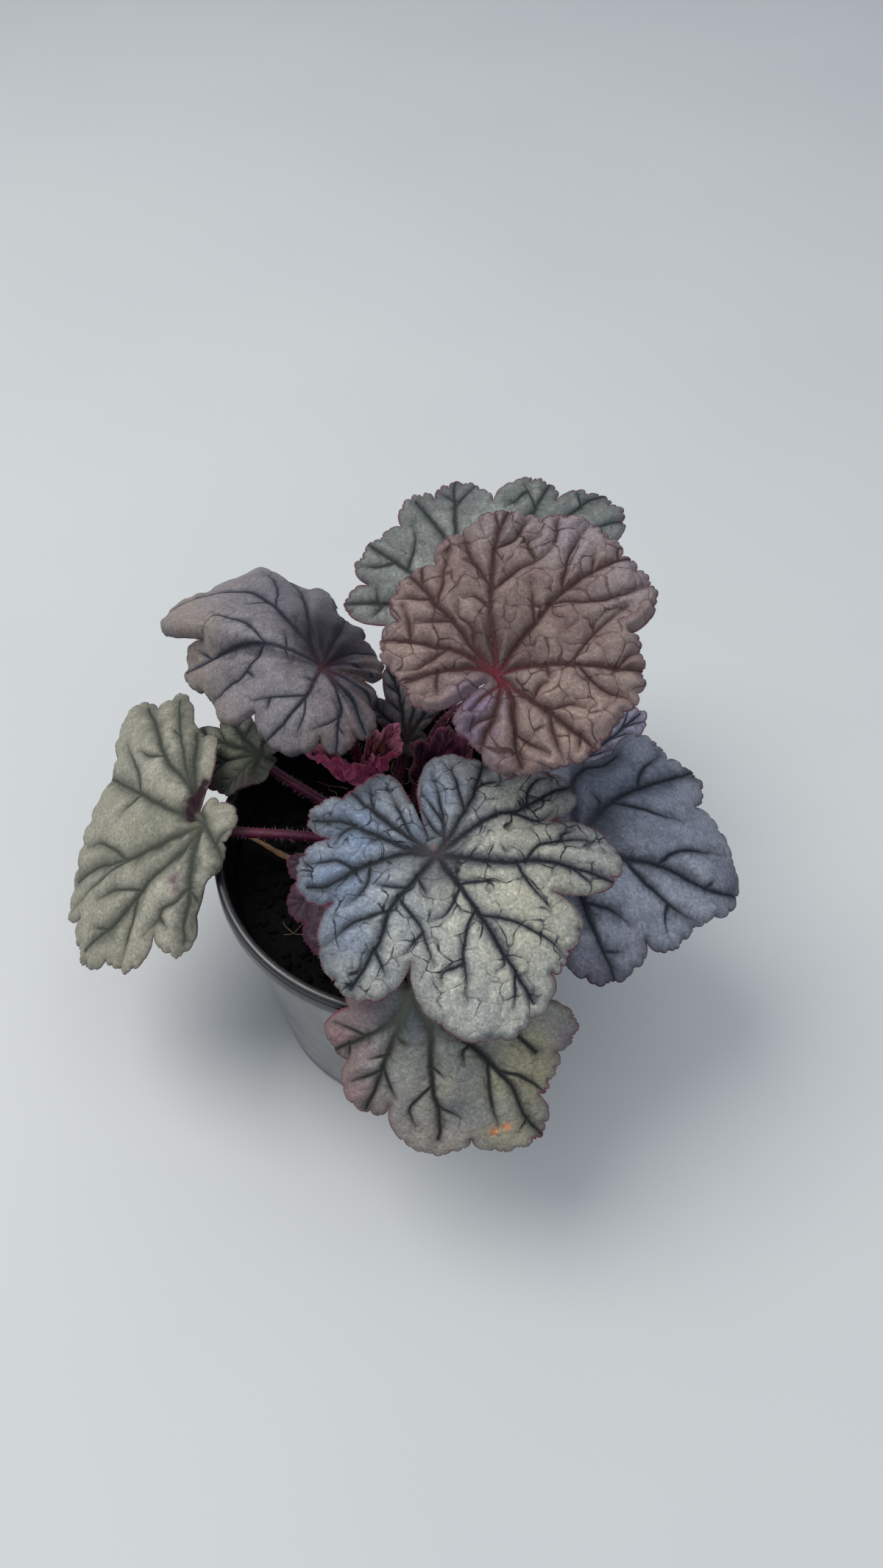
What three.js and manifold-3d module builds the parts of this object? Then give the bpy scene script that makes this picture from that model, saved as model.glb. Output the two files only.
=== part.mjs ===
// A potted heuchera: a nursery pot filled with soil, a short crown, and thirteen lobed leaves on slender
// stalks.
// Millimetres, +Z up. The origin is the centre of the pot's underside, and -Y is the front.

import * as THREE from 'three';
import * as BufferGeometryUtils from 'three/addons/utils/BufferGeometryUtils.js';
import Module from 'manifold-3d';

const wasm = await Module();
wasm.setup();

// ---------------------------------------------------------------- driving dimensions

const TOUCH_GAP = 0.3;
const HUB_GAP = 0.36;

const POT = {
  height: 85,
  rimRadius: 52.5,
  rimHeight: 6.5,
  rimWidth: 2.5,
  wallTopRadius: 49.6,
  baseRadius: 38.5,
  baseChamfer: 1.5,
  rimRound: 1,
  bandRise: 0.4,
  lipDepth: 2,
  lipStep: 0.3,
  wall: 1.3,
  floor: 1.8,
  segments: 64,
  drainHoles: 8,
  drainHoleRadius: 3.2,
  drainCircle: 31,
  drillSides: 12,
};

const SOIL = {
  level: 73,
  lumpHeight: 0.8,
  lumpPitch: 9,
  lumpRings: [40, 31, 22],
  plainCollar: 1,
  segments: 64,
};

const CROWN = {
  radius: 10.5,
  foot: 60,
  domeCentre: 69,
  domeSteps: 6,
  footTaper: 3,
  segments: 24,
};

const BLADE_THICKNESS = 0.7;
const MAIN_STALK_RADIUS = 1.45;
const SMALL_STALK_RADIUS = 1.1;
const STALK_SIDES = 8;
const STALK_STEPS = 12;

// Vertices closer together than this are one, and so are heights.
const MERGE_GAP = 1e-4;
const SAME_HEIGHT = 1e-3;

// The three rings of vertices of a blade, as shares of the distance from its hub to its edge.
const RINGS = [0.38, 0.72, 1];
// Places of the edge's vertices along one tooth, counted from the notch that it starts at.
const TOOTH_STEPS = [0, 0.34, 0.66];

const COLOURS = {
  pot: 0x23262b,
  soil: 0x17120f,
  crown: 0x4a2a2c,
  stalk: 0x6b2c45,
  spent: 0x6b5138,
  silver: 0x8d9793,
  slate: 0x6f7c88,
  sage: 0x84938a,
  pale: 0x9aa191,
  olive: 0x7d7f70,
  mauve: 0x857c88,
  bronze: 0x8b6f68,
  shade: 0x56605a,
  plum: 0x5d4450,
  crimson: 0x93405c,
  burgundy: 0x3f1c30,
};

// Each leaf has its hub (where the stalk meets the blade), the tilt of its face and the way it leans,
// the heading of its midrib seen from above, and its lobes and the clefts between them in clockwise order
// from the basal sinus.
//   lobe:  [angle from the midrib, reach along the blade, rise at the hub, bend up to the tip, teeth]
//   cleft: [angle from the midrib, reach]
//   basal: how slowly the blade widens from either side of the basal sinus
// Angles are degrees, lengths are millimetres. A negative bend droops. The stalk leaves the crown on one of
// its two rings, sweeps past its first control point and arrives at the hub along the blade's normal over
// its last stretch.
const LEAVES = [
  {
    name: 'leaf_front',
    colour: COLOURS.silver,
    hub: [7, -23, 115],
    tilt: 24,
    lean: -80,
    heading: -60,
    lobes: [
      [-139, 26.5, -6, -8, 3],
      [-85, 39, 3, -12, 3],
      [-57, 47, 8, -18, 3],
      [-34, 42, 9, -22, 3],
      [4, 49.5, 7, -25, 4],
      [55, 41.5, 5, -25, 4],
      [103, 35.5, 0, -25, 4],
      [133, 33, -3, -20, 3],
      [167, 25.5, -8, -10, 4],
    ],
    clefts: [
      [-106, 28], [-77, 32], [-43, 32.5], [-17, 43.5],
      [38, 29.5], [89, 29], [124, 27], [149, 27.5],
    ],
    basal: [0.3, 0.3],
    stalk: { ring: 'outer', azimuth: -92, sweep: [2, -16, 90], last: 14 },
  },
  {
    name: 'leaf_top',
    colour: COLOURS.bronze,
    hub: [19, 1.5, 150],
    tilt: 22,
    lean: -75,
    heading: 62,
    lobes: [
      [-137, 21.5, -2, -12, 3],
      [-104, 29, -4, -12, 3],
      [-71, 34.5, -2, -12, 3],
      [-51, 39.5, 0, -12, 3],
      [-30, 44, 5, -12, 4],
      [-5, 46, 10, -12, 4],
      [24, 43.5, 16, -14, 4],
      [56, 34.5, 19, -14, 4],
      [90, 29.5, 15, -14, 4],
      [130, 24.5, 2, -14, 4],
      [175, 16.5, -4, -10, 3],
    ],
    clefts: [
      [-118, 26.5], [-92, 29], [-60, 33.5], [-40, 42.5], [-19, 42],
      [10, 44], [38, 34], [74, 31.5], [106, 28], [156, 19.5],
    ],
    basal: [1.4, 0.7],
    stalk: { ring: 'outer', azimuth: 88, sweep: [1, 50, 92], last: 30 },
  },
  {
    name: 'leaf_upper_left',
    colour: COLOURS.mauve,
    hub: [-23, 15, 135],
    tilt: 22,
    lean: -120,
    heading: 171,
    lobes: [
      [-170, 16.5, -15, -25, 3],
      [-135, 21.5, -3, -35, 3],
      [-106, 23, -6, -45, 3],
      [-57, 26.5, -2, -50, 4],
      [-15, 41, 1, -60, 3],
      [3, 55, 4, -60, 3],
      [14, 66, 15, -70, 3],
      [45, 61.5, 3, -60, 3],
      [62, 45.5, -1, -60, 3],
      [88, 25, -15, -40, 3],
      [135, 17, -24, -20, 3],
    ],
    clefts: [
      [-146, 20], [-125, 20], [-95, 18.5], [-34, 23.5], [-6, 46.5],
      [9, 41], [29, 57], [53, 45], [75, 32], [112, 20],
    ],
    basal: [0.4, 0.3],
    stalk: { ring: 'outer', azimuth: 128, sweep: [-20, 32, 88], last: 18 },
  },
  {
    name: 'leaf_far_left',
    colour: COLOURS.pale,
    hub: [-56, -4, 93],
    tilt: 38,
    lean: 180,
    heading: -116,
    lobes: [
      [-157, 8, 8, -10, 2],
      [-121, 10.5, -12, -20, 3],
      [-23, 16.5, -15, -25, 3],
      [2, 37, -6, -30, 3],
      [28, 48, 1, -30, 4],
      [37, 54.5, 5, -30, 2],
      [57, 54, 11, -30, 4],
      [97, 47.5, 19, -30, 4],
      [126, 59.5, 17, -20, 4],
      [141, 55.5, 14, -20, 3],
      [153, 32, 9, -15, 3],
    ],
    clefts: [
      [-140, 8], [-67, 11], [-10, 27.5], [15, 34], [33, 49],
      [46, 53], [80, 50], [112, 52], [136, 56], [147, 41.5],
    ],
    basal: [1, 0.9],
    stalk: { ring: 'outer', azimuth: -178, sweep: [-20, -2, 93], last: 8 },
  },
  {
    name: 'leaf_right',
    colour: COLOURS.slate,
    hub: [44, -7.5, 101],
    tilt: 20,
    lean: -20,
    heading: -1,
    lobes: [
      [-92, 24.5, 2, -10, 3],
      [-61, 44.5, 7, -15, 3],
      [-37, 47.5, 10, -20, 4],
      [3, 50.5, 9, -25, 4],
      [31, 39.5, 5, -25, 4],
      [72, 38.5, -1, -20, 4],
      [120, 26.5, -17, -10, 3],
    ],
    clefts: [[-72, 32], [-50, 44], [-28, 41], [15, 45], [47, 33.5], [91, 31]],
    stalk: { ring: 'outer', azimuth: -20, sweep: [20, -5, 90], last: 14 },
  },
  {
    name: 'leaf_back',
    colour: COLOURS.sage,
    hub: [12.5, 64, 105],
    tilt: 24,
    lean: -95,
    heading: 117,
    lobes: [
      [-83, 26, 11, -8, 3],
      [-52, 37.5, 4, -12, 3],
      [-32, 39, 9, -15, 3],
      [5, 45, 8, -15, 4],
      [22, 46, 10, -15, 4],
      [52, 54, 5, -15, 4],
      [76, 65, -1, -15, 4],
      [99, 45, 0, -12, 3],
      [151, 32, 2, -8, 3],
    ],
    clefts: [[-65, 25], [-41, 33.5], [-6, 38], [13, 43], [38, 42], [60, 53], [85, 50], [123, 33]],
    stalk: { ring: 'outer', azimuth: 45, sweep: [18, 24, 80], last: 10 },
  },
  {
    name: 'leaf_low_front',
    colour: COLOURS.olive,
    hub: [4, -49.5, 91],
    tilt: 36,
    lean: -90,
    heading: -68,
    lobes: [
      [-83, 24.5, -11, -10, 3],
      [-53, 45, -5, -20, 3],
      [-35, 46.5, -8, -25, 3],
      [-17, 53.5, -2, -30, 5],
      [13, 47, -4, -30, 4],
      [46, 34.5, 1, -30, 4],
      [87, 25.5, 1, -30, 3],
      [118, 16.5, -1, -10, 3],
    ],
    clefts: [[-64, 33], [-43, 43], [-27, 46], [2, 45], [34, 32.5], [67, 25], [100, 17]],
    stalk: { ring: 'outer', azimuth: -62, sweep: [4, -24, 84], last: 10 },
  },
  {
    name: 'leaf_back_left',
    colour: COLOURS.shade,
    hub: [-42.5, 21, 92],
    tilt: 14,
    lean: 150,
    heading: 176,
    lobes: [
      [-167, 5, -10, -10, 2],
      [-83, 9.5, -9, -20, 3],
      [-50, 16, -1, -25, 3],
      [4, 30, -5, -30, 4],
      [30, 38, 0, -25, 4],
      [50, 24, 8, -20, 4],
      [97, 9.5, 15, -10, 3],
    ],
    clefts: [[-121, 6.5], [-63, 13], [-26, 19], [17, 26], [40, 21.5], [73, 9]],
    stalk: { ring: 'outer', azimuth: 155, sweep: [-20, 11, 86], last: 8 },
  },
  {
    name: 'leaf_back_right',
    colour: COLOURS.slate,
    hub: [37.5, 14.5, 92],
    tilt: 12,
    lean: -60,
    heading: 47,
    lobes: [
      [-94, 12, -1, -10, 3],
      [-27, 36, 1, -12, 3],
      [-1, 41.5, 5, -12, 4],
      [16, 37.5, 6, -12, 3],
      [49, 21.5, 4, -10, 3],
    ],
    clefts: [[-61, 10], [-13, 31], [8, 32], [33, 17]],
    basal: [0.7, 2],
    stalk: { ring: 'outer', azimuth: 12, sweep: [20, 7, 86], last: 7 },
  },
  {
    name: 'leaf_back_centre',
    colour: COLOURS.shade,
    hub: [-2.5, 23.5, 97],
    tilt: 34,
    lean: -90,
    heading: 78,
    lobes: [
      [-90, 7, 6, -10, 2],
      [-56, 16, 6, -10, 3],
      [-28, 24, 15, -15, 3],
      [-5, 27, 15, -15, 3],
      [16, 22, 6, -10, 3],
      [80, 5.5, 0, -10, 2],
    ],
    clefts: [[-73, 6], [-42, 13.5], [-17, 20.5], [6, 19.5], [31, 5]],
    basal: [3, 3],
    stalk: { ring: 'inner', azimuth: 125, sweep: [-7, 14, 86], last: 5 },
  },
  {
    name: 'leaf_low_left',
    colour: COLOURS.plum,
    hub: [-13, -18, 90],
    tilt: 15,
    lean: -150,
    heading: -165,
    lobes: [
      [-90, 17, -2, -15, 3],
      [-54, 21.5, -1, -20, 3],
      [-1, 19.5, 3, -20, 4],
      [40, 21.5, 8, -20, 3],
      [65, 14.5, 6, -15, 3],
      [124, 9.5, 0, -10, 3],
    ],
    clefts: [[-72, 14.5], [-22, 17], [21, 16], [53, 12], [95, 8]],
    stalk: { ring: 'outer', azimuth: -125, sweep: [-9, -11, 81], last: 5 },
  },
  {
    name: 'young_leaf_crimson',
    colour: COLOURS.crimson,
    hub: [-14, 15.5, 88],
    tilt: 8,
    lean: 60,
    heading: -54,
    lobes: [
      [-120, 20, 71, 15, 4],
      [-81, 23, 61, 15, 5],
      [-45, 19.5, 53, 15, 3],
      [-13, 16.5, 68, 15, 3],
      [79, 16, 53, 20, 4],
      [121, 22.5, 32, 20, 4],
    ],
    clefts: [[-101, 19.5], [-63, 19.5], [-29, 16.5], [33, 15], [100, 17.5]],
    basal: [1.2, 1.2],
    small: true,
    stalk: { ring: 'inner', azimuth: 175, sweep: [-9, 8, 82], last: 3 },
  },
  {
    name: 'young_leaf_dark',
    colour: COLOURS.burgundy,
    hub: [5, 16, 85],
    tilt: 8,
    lean: 90,
    heading: 87,
    lobes: [
      [-109, 11, 44, 20, 3],
      [-90, 19, 67, 15, 3],
      [54, 23.5, 70, 15, 4],
      [88, 22.5, 56, 15, 3],
      [110, 16.5, 39, 10, 3],
    ],
    clefts: [[-99, 12.5], [-18, 16], [71, 22], [99, 17]],
    basal: [2, 2],
    small: true,
    stalk: { ring: 'inner', azimuth: 45, sweep: [4, 10, 81], last: 2.5 },
  },
];

// The blade's edge near its basal sinus.
const SINUS = { halfGap: 3, reach: 3, roundness: 0.7, toothDepth: 0.05 };

// Where the stalks stand on the crown's dome: the angle above the horizon of each ring.
const CROWN_RINGS = { outer: 40, inner: 68 };

// The bare stalk of a leaf that has gone, leaning out over the soil.
const SPENT_STALK = {
  azimuth: -152,
  radius: 0.9,
  points: [[-17, -6, 79], [-32, -4, 79], [-42, 0, 80.5], [-47, 1.5, 82]],
};

// ---------------------------------------------------------------- helpers

const radians = THREE.MathUtils.degToRad;
const ease = (t) => (1 - Math.cos(Math.PI * THREE.MathUtils.clamp(t, 0, 1))) / 2;

// A direction from its azimuth and its angle above the horizon, in degrees.
function direction(azimuth, elevation) {
  const a = radians(azimuth);
  const e = radians(elevation);
  return new THREE.Vector3(Math.cos(e) * Math.cos(a), Math.cos(e) * Math.sin(a), Math.sin(e));
}

function signedVolume(geometry) {
  const p = geometry.getAttribute('position');
  const index = geometry.getIndex();
  const [a, b, c] = [new THREE.Vector3(), new THREE.Vector3(), new THREE.Vector3()];
  let sum = 0;
  for (let i = 0; i < index.count; i += 3) {
    a.fromBufferAttribute(p, index.getX(i));
    b.fromBufferAttribute(p, index.getX(i + 1));
    c.fromBufferAttribute(p, index.getX(i + 2));
    sum += a.dot(b.cross(c));
  }
  return sum / 6;
}

// One closed body with merged vertices, no empty triangles and its faces pointing out.
function closed(source) {
  const bare = source.clone();
  bare.deleteAttribute('normal');
  bare.deleteAttribute('uv');
  const geometry = BufferGeometryUtils.mergeVertices(bare, MERGE_GAP);
  const index = Array.from(geometry.getIndex().array);
  const kept = [];
  for (let i = 0; i < index.length; i += 3) {
    const [a, b, c] = index.slice(i, i + 3);
    if (a !== b && b !== c && c !== a) kept.push(a, b, c);
  }
  geometry.setIndex(kept);
  if (signedVolume(geometry) < 0) {
    for (let i = 0; i < kept.length; i += 3) [kept[i], kept[i + 1]] = [kept[i + 1], kept[i]];
    geometry.setIndex(kept);
  }
  return geometry;
}

function toSolid(geometry) {
  const mesh = closed(geometry);
  return new wasm.Manifold(new wasm.Mesh({
    numProp: 3,
    vertProperties: new Float32Array(mesh.getAttribute('position').array),
    triVerts: new Uint32Array(mesh.getIndex().array),
  }));
}

function fromSolid(solid) {
  const mesh = solid.getMesh();
  const geometry = new THREE.BufferGeometry();
  geometry.setAttribute('position', new THREE.Float32BufferAttribute(mesh.vertProperties, 3));
  geometry.setIndex(new THREE.Uint32BufferAttribute(mesh.triVerts, 1));
  return geometry;
}

// A body turned round the Z axis from [radius, height] points that start and end on the axis.
function turned(profile, segments) {
  const points = profile.map(([radius, height]) => new THREE.Vector2(radius, height));
  return new THREE.LatheGeometry(points, segments).rotateX(Math.PI / 2);
}

// A round rod of one radius along a curve.
function rod(curve, radius, steps) {
  const outline = [];
  for (let i = 0; i < STALK_SIDES; i++) {
    const a = (2 * Math.PI * i) / STALK_SIDES;
    outline.push(new THREE.Vector2(radius * Math.cos(a), radius * Math.sin(a)));
  }
  const sweep = { extrudePath: curve, steps, bevelEnabled: false };
  return new THREE.ExtrudeGeometry(new THREE.Shape(outline), sweep);
}

function named(name, geometry, colour, roughness = 0.6) {
  const flat = geometry.index ? geometry.toNonIndexed() : geometry;
  const material = new THREE.MeshStandardMaterial({ color: colour, roughness, metalness: 0 });
  const mesh = new THREE.Mesh(closed(flat), material);
  mesh.name = name;
  return mesh;
}

// ---------------------------------------------------------------- pot, soil and crown

// Radius of the pot's outer wall at a height, below the rim's band.
function potRadius(z) {
  const wallHeight = POT.height - POT.rimHeight;
  return POT.baseRadius + ((POT.wallTopRadius - POT.baseRadius) * z) / wallHeight;
}

function pot() {
  const bandFoot = POT.height - POT.rimHeight;
  const lipInner = POT.rimRadius - POT.rimWidth;
  const shell = toSolid(turned([
    [0, 0],
    [POT.baseRadius - POT.baseChamfer, 0],
    [potRadius(POT.baseChamfer), POT.baseChamfer],
    [POT.wallTopRadius, bandFoot],
    [POT.rimRadius - POT.rimRound / 2, bandFoot + POT.bandRise],
    [POT.rimRadius, bandFoot + POT.rimRound],
    [POT.rimRadius, POT.height - POT.rimRound],
    [POT.rimRadius - POT.rimRound / 3, POT.height - POT.rimRound / 3],
    [POT.rimRadius - POT.rimRound, POT.height],
    [lipInner + POT.rimRound / 2, POT.height],
    [lipInner, POT.height - POT.rimRound / 2],
    [lipInner - POT.lipStep, POT.height - POT.lipDepth],
    [POT.wallTopRadius - POT.wall, bandFoot - POT.rimRound],
    [potRadius(POT.floor) - POT.wall, POT.floor],
    [0, POT.floor],
  ], POT.segments));
  const [radius, depth] = [POT.drainHoleRadius, 3 * POT.floor];
  const drill = new THREE.CylinderGeometry(radius, radius, depth, POT.drillSides);
  drill.rotateX(Math.PI / 2);
  let drained = shell;
  for (let i = 0; i < POT.drainHoles; i++) {
    const a = (2 * Math.PI * (i + 0.5)) / POT.drainHoles;
    const cut = drill.clone().translate(POT.drainCircle * Math.cos(a), POT.drainCircle * Math.sin(a), 0);
    drained = drained.subtract(toSolid(cut));
  }
  return named('pot', fromSolid(drained), COLOURS.pot, 0.35);
}

// The soil's surface is level apart from low lumps, and it has a plain hole that the crown stands in.
function soil() {
  const foot = POT.floor + TOUCH_GAP;
  const edge = (z) => potRadius(z) - POT.wall - TOUCH_GAP;
  const hole = CROWN.radius + TOUCH_GAP;
  const body = turned([
    [0, foot],
    [edge(foot), foot],
    [edge(SOIL.level), SOIL.level],
    ...SOIL.lumpRings.map((radius) => [radius, SOIL.level]),
    [hole, SOIL.level],
    [hole, CROWN.foot - TOUCH_GAP],
    [0, CROWN.foot - TOUCH_GAP],
  ], SOIL.segments);
  const p = body.getAttribute('position');
  for (let i = 0; i < p.count; i++) {
    const [x, y, z] = [p.getX(i), p.getY(i), p.getZ(i)];
    const lumpy = Math.hypot(x, y) > hole + SOIL.plainCollar;
    if (lumpy && Math.abs(z - SOIL.level) < SAME_HEIGHT) {
      const turn = (2 * Math.PI) / SOIL.lumpPitch;
      p.setZ(i, z + SOIL.lumpHeight * Math.sin(turn * x) * Math.cos(turn * y));
    }
  }
  return named('soil', body, COLOURS.soil, 0.95);
}

// The rootstock: a short peg that swells into a dome, which the stalks stand on.
function crown() {
  const profile = [
    [0, CROWN.foot],
    [CROWN.radius - CROWN.footTaper, CROWN.foot],
    [CROWN.radius, CROWN.domeCentre - CROWN.footTaper],
  ];
  for (let i = 0; i < CROWN.domeSteps; i++) {
    const a = (Math.PI / 2) * (i / CROWN.domeSteps);
    profile.push([CROWN.radius * Math.cos(a), CROWN.domeCentre + CROWN.radius * Math.sin(a)]);
  }
  profile.push([0, CROWN.domeCentre + CROWN.radius]);
  return named('crown', turned(profile, CROWN.segments), COLOURS.crown, 0.8);
}

// ---------------------------------------------------------------- leaves

// The blade's own axes: to the right of the midrib, along it, and out of its upper face.
function bladeFrame({ tilt, lean, heading }) {
  const normal = direction(lean, 90 - tilt);
  const along = direction(heading, 0);
  along.addScaledVector(normal, -along.dot(normal)).normalize();
  const right = new THREE.Vector3().crossVectors(along, normal);
  return { right, along, normal };
}

// A value between the lobes, eased from one lobe's to the next's.
function betweenLobes(lobes, angle, valueOf) {
  if (angle <= lobes[0][0]) return valueOf(lobes[0]);
  for (let i = 1; i < lobes.length; i++) {
    const [from, to] = [lobes[i - 1], lobes[i]];
    if (angle <= to[0]) {
      const share = ease((angle - from[0]) / (to[0] - from[0]));
      return THREE.MathUtils.lerp(valueOf(from), valueOf(to), share);
    }
  }
  return valueOf(lobes.at(-1));
}

// A point of the blade's upper face. Each direction from the hub is an arc that starts at the lobe's rise.
function bladePoint(leaf, frame, angle, reach) {
  const rise = radians(betweenLobes(leaf.lobes, angle, (lobe) => lobe[2]));
  const turn = radians(betweenLobes(leaf.lobes, angle, (lobe) => lobe[3] / lobe[1]));
  const end = rise + turn * reach;
  const out = (Math.sin(end) - Math.sin(rise)) / turn;
  const up = (Math.cos(rise) - Math.cos(end)) / turn;
  const a = radians(angle);
  return new THREE.Vector3(...leaf.hub)
    .addScaledVector(frame.right, out * Math.sin(a))
    .addScaledVector(frame.along, out * Math.cos(a))
    .addScaledVector(frame.normal, up);
}

// The edge as [angle, reach without teeth, reach with teeth], in clockwise order from the basal sinus.
function bladeEdge({ lobes, clefts, basal = [SINUS.roundness, SINUS.roundness] }) {
  const limit = 180 - SINUS.halfGap;
  const bounds = [[-limit, SINUS.reach], ...clefts, [limit, SINUS.reach]];
  const edge = [];
  lobes.forEach(([tipAngle, tipReach, , , teeth], i) => {
    const [from, to] = [bounds[i], bounds[i + 1]];
    const first = i === 0 ? basal[0] : SINUS.roundness;
    const last = i === lobes.length - 1 ? basal[1] : SINUS.roundness;
    for (let tooth = 0; tooth < teeth; tooth++) {
      for (const step of TOOTH_STEPS) {
        const along = (tooth + step) / teeth;
        const angle = THREE.MathUtils.lerp(from[0], to[0], along);
        const before = angle <= tipAngle;
        const [cleftAngle, cleftReach] = before ? from : to;
        const t = (angle - cleftAngle) / (tipAngle - cleftAngle);
        const swell = Math.sin((Math.PI / 2) * t) ** (before ? first : last);
        const reach = cleftReach + (tipReach - cleftReach) * swell;
        const notch = 1 - SINUS.toothDepth * (1 - Math.sqrt(Math.abs(Math.sin(Math.PI * step))));
        edge.push({ angle, reach, toothed: reach * notch, notch: step === 0 });
      }
    }
  });
  edge.push({ angle: limit, reach: SINUS.reach, toothed: SINUS.reach, notch: true });
  return edge;
}

// The upper face as points and triangles: the hub, two coarse rings at the notches, and the toothed edge.
function bladeFace(leaf) {
  const frame = bladeFrame(leaf);
  const edge = bladeEdge(leaf);
  const ribs = edge.filter(({ notch }) => notch);
  const rings = [
    ribs.map(({ angle, reach }) => bladePoint(leaf, frame, angle, RINGS[0] * reach)),
    ribs.map(({ angle, reach }) => bladePoint(leaf, frame, angle, RINGS[1] * reach)),
    edge.map(({ angle, toothed }) => bladePoint(leaf, frame, angle, RINGS[2] * toothed)),
  ];
  const points = [new THREE.Vector3(...leaf.hub), ...rings.flat()];
  const start = [1, 1 + ribs.length, 1 + 2 * ribs.length];
  const triangles = [];
  for (let i = 0; i < ribs.length; i++) {
    const j = (i + 1) % ribs.length;
    const [a, b] = [start[0] + i, start[0] + j];
    const [c, d] = [start[1] + i, start[1] + j];
    triangles.push([0, b, a], [a, b, d], [a, d, c]);
    const first = edge.indexOf(ribs[i]);
    const steps = j === 0 ? 1 : edge.indexOf(ribs[j]) - first;
    const half = Math.floor(steps / 2);
    for (let k = 0; k < steps; k++) {
      const e = start[2] + first + k;
      const f = start[2] + ((first + k + 1) % edge.length);
      const base = k <= half ? c : d;
      triangles.push([base, f, e]);
      if (k === half) triangles.push([c, d, f]);
    }
  }
  return { points, triangles, rim: edge.map((_, i) => start[2] + i) };
}

// The blade: the upper face, the same face one thickness below it, and the edge between them.
function blade(leaf) {
  const { points, triangles, rim } = bladeFace(leaf);
  const normals = points.map(() => new THREE.Vector3());
  for (const [a, b, c] of triangles) {
    const ab = points[b].clone().sub(points[a]);
    const ac = points[c].clone().sub(points[a]);
    const n = ab.cross(ac);
    for (const corner of [a, b, c]) normals[corner].add(n);
  }
  const upward = normals[0].dot(bladeFrame(leaf).normal) > 0 ? 1 : -1;
  const down = -upward * BLADE_THICKNESS;
  const lower = points.map((p, i) => p.clone().addScaledVector(normals[i].normalize(), down));
  const count = points.length;
  const faces = [...triangles, ...triangles.map(([a, b, c]) => [a + count, c + count, b + count])];
  rim.forEach((a, i) => {
    const b = rim[(i + 1) % rim.length];
    faces.push([a, b, b + count], [a, b + count, a + count]);
  });
  const geometry = new THREE.BufferGeometry().setFromPoints([...points, ...lower]);
  geometry.setIndex(faces.flat());
  return named(`${leaf.name}_blade`, geometry, leaf.colour);
}

// A stalk's foot on the crown's dome. A stalk that leaves at a slant stands off, so that its flat end
// clears the dome.
function crownFoot(ring, azimuth, towards, radius) {
  const out = direction(azimuth, CROWN_RINGS[ring]);
  const centre = new THREE.Vector3(0, 0, CROWN.domeCentre);
  const seat = centre.clone().addScaledVector(out, CROWN.radius);
  const slant = towards.clone().sub(seat).angleTo(out);
  return centre.addScaledVector(out, CROWN.radius + TOUCH_GAP + radius * Math.sin(slant));
}

// How far below the hub a stalk ends, so that its rim clears a blade that droops from the hub.
function hubClearance(leaf, radius) {
  const droop = Math.max(0, ...leaf.lobes.map((lobe) => -lobe[2]));
  return BLADE_THICKNESS + HUB_GAP + radius * Math.tan(radians(droop));
}

function stalk(leaf) {
  const { ring, azimuth, sweep, last } = leaf.stalk;
  const radius = leaf.small ? SMALL_STALK_RADIUS : MAIN_STALK_RADIUS;
  const { normal } = bladeFrame(leaf);
  const hub = new THREE.Vector3(...leaf.hub);
  const end = hub.clone().addScaledVector(normal, -hubClearance(leaf, radius));
  const firstControl = new THREE.Vector3(...sweep);
  const curve = new THREE.CubicBezierCurve3(
    crownFoot(ring, azimuth, firstControl, radius),
    firstControl,
    end.clone().addScaledVector(normal, -last),
    end,
  );
  return named(`${leaf.name}_stalk`, rod(curve, radius, STALK_STEPS), COLOURS.stalk);
}

function spentStalk() {
  const { azimuth, radius } = SPENT_STALK;
  const points = SPENT_STALK.points.map((point) => new THREE.Vector3(...point));
  const curve = new THREE.CatmullRomCurve3([crownFoot('outer', azimuth, points[0], radius), ...points]);
  return named('spent_stalk', rod(curve, radius, STALK_STEPS), COLOURS.spent, 0.85);
}

// ---------------------------------------------------------------- the plant in its pot

const plant = new THREE.Group();
plant.add(pot(), soil(), crown(), spentStalk());
for (const leaf of LEAVES) plant.add(blade(leaf), stalk(leaf));

export default plant;
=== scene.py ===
"""A potted heuchera: leaves with veins and hairs, stalks, crown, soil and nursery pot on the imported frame."""

import bmesh
import bpy
import numpy as np
from mathutils import Matrix, Vector, kdtree
from mathutils.geometry import delaunay_2d_cdt


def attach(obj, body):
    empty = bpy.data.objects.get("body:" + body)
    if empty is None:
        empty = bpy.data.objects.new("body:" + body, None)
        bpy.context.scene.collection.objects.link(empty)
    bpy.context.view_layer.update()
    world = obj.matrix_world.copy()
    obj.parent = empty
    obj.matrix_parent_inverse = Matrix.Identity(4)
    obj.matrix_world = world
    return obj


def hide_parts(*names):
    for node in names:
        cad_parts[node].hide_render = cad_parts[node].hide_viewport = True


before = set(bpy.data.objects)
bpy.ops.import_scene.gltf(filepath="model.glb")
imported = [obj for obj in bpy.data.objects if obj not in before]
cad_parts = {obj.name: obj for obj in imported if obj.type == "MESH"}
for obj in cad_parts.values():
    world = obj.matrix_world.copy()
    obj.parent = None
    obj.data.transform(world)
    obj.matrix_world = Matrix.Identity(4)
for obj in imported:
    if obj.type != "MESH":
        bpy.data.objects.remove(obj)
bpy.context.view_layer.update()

# Lengths are millimetres and angles degrees until a mesh is made; MM turns them into metres. The camera and
# the lamps are in metres.
MM = 0.001

# ---------------------------------------------------------------- sizes shared with the solids

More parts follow.
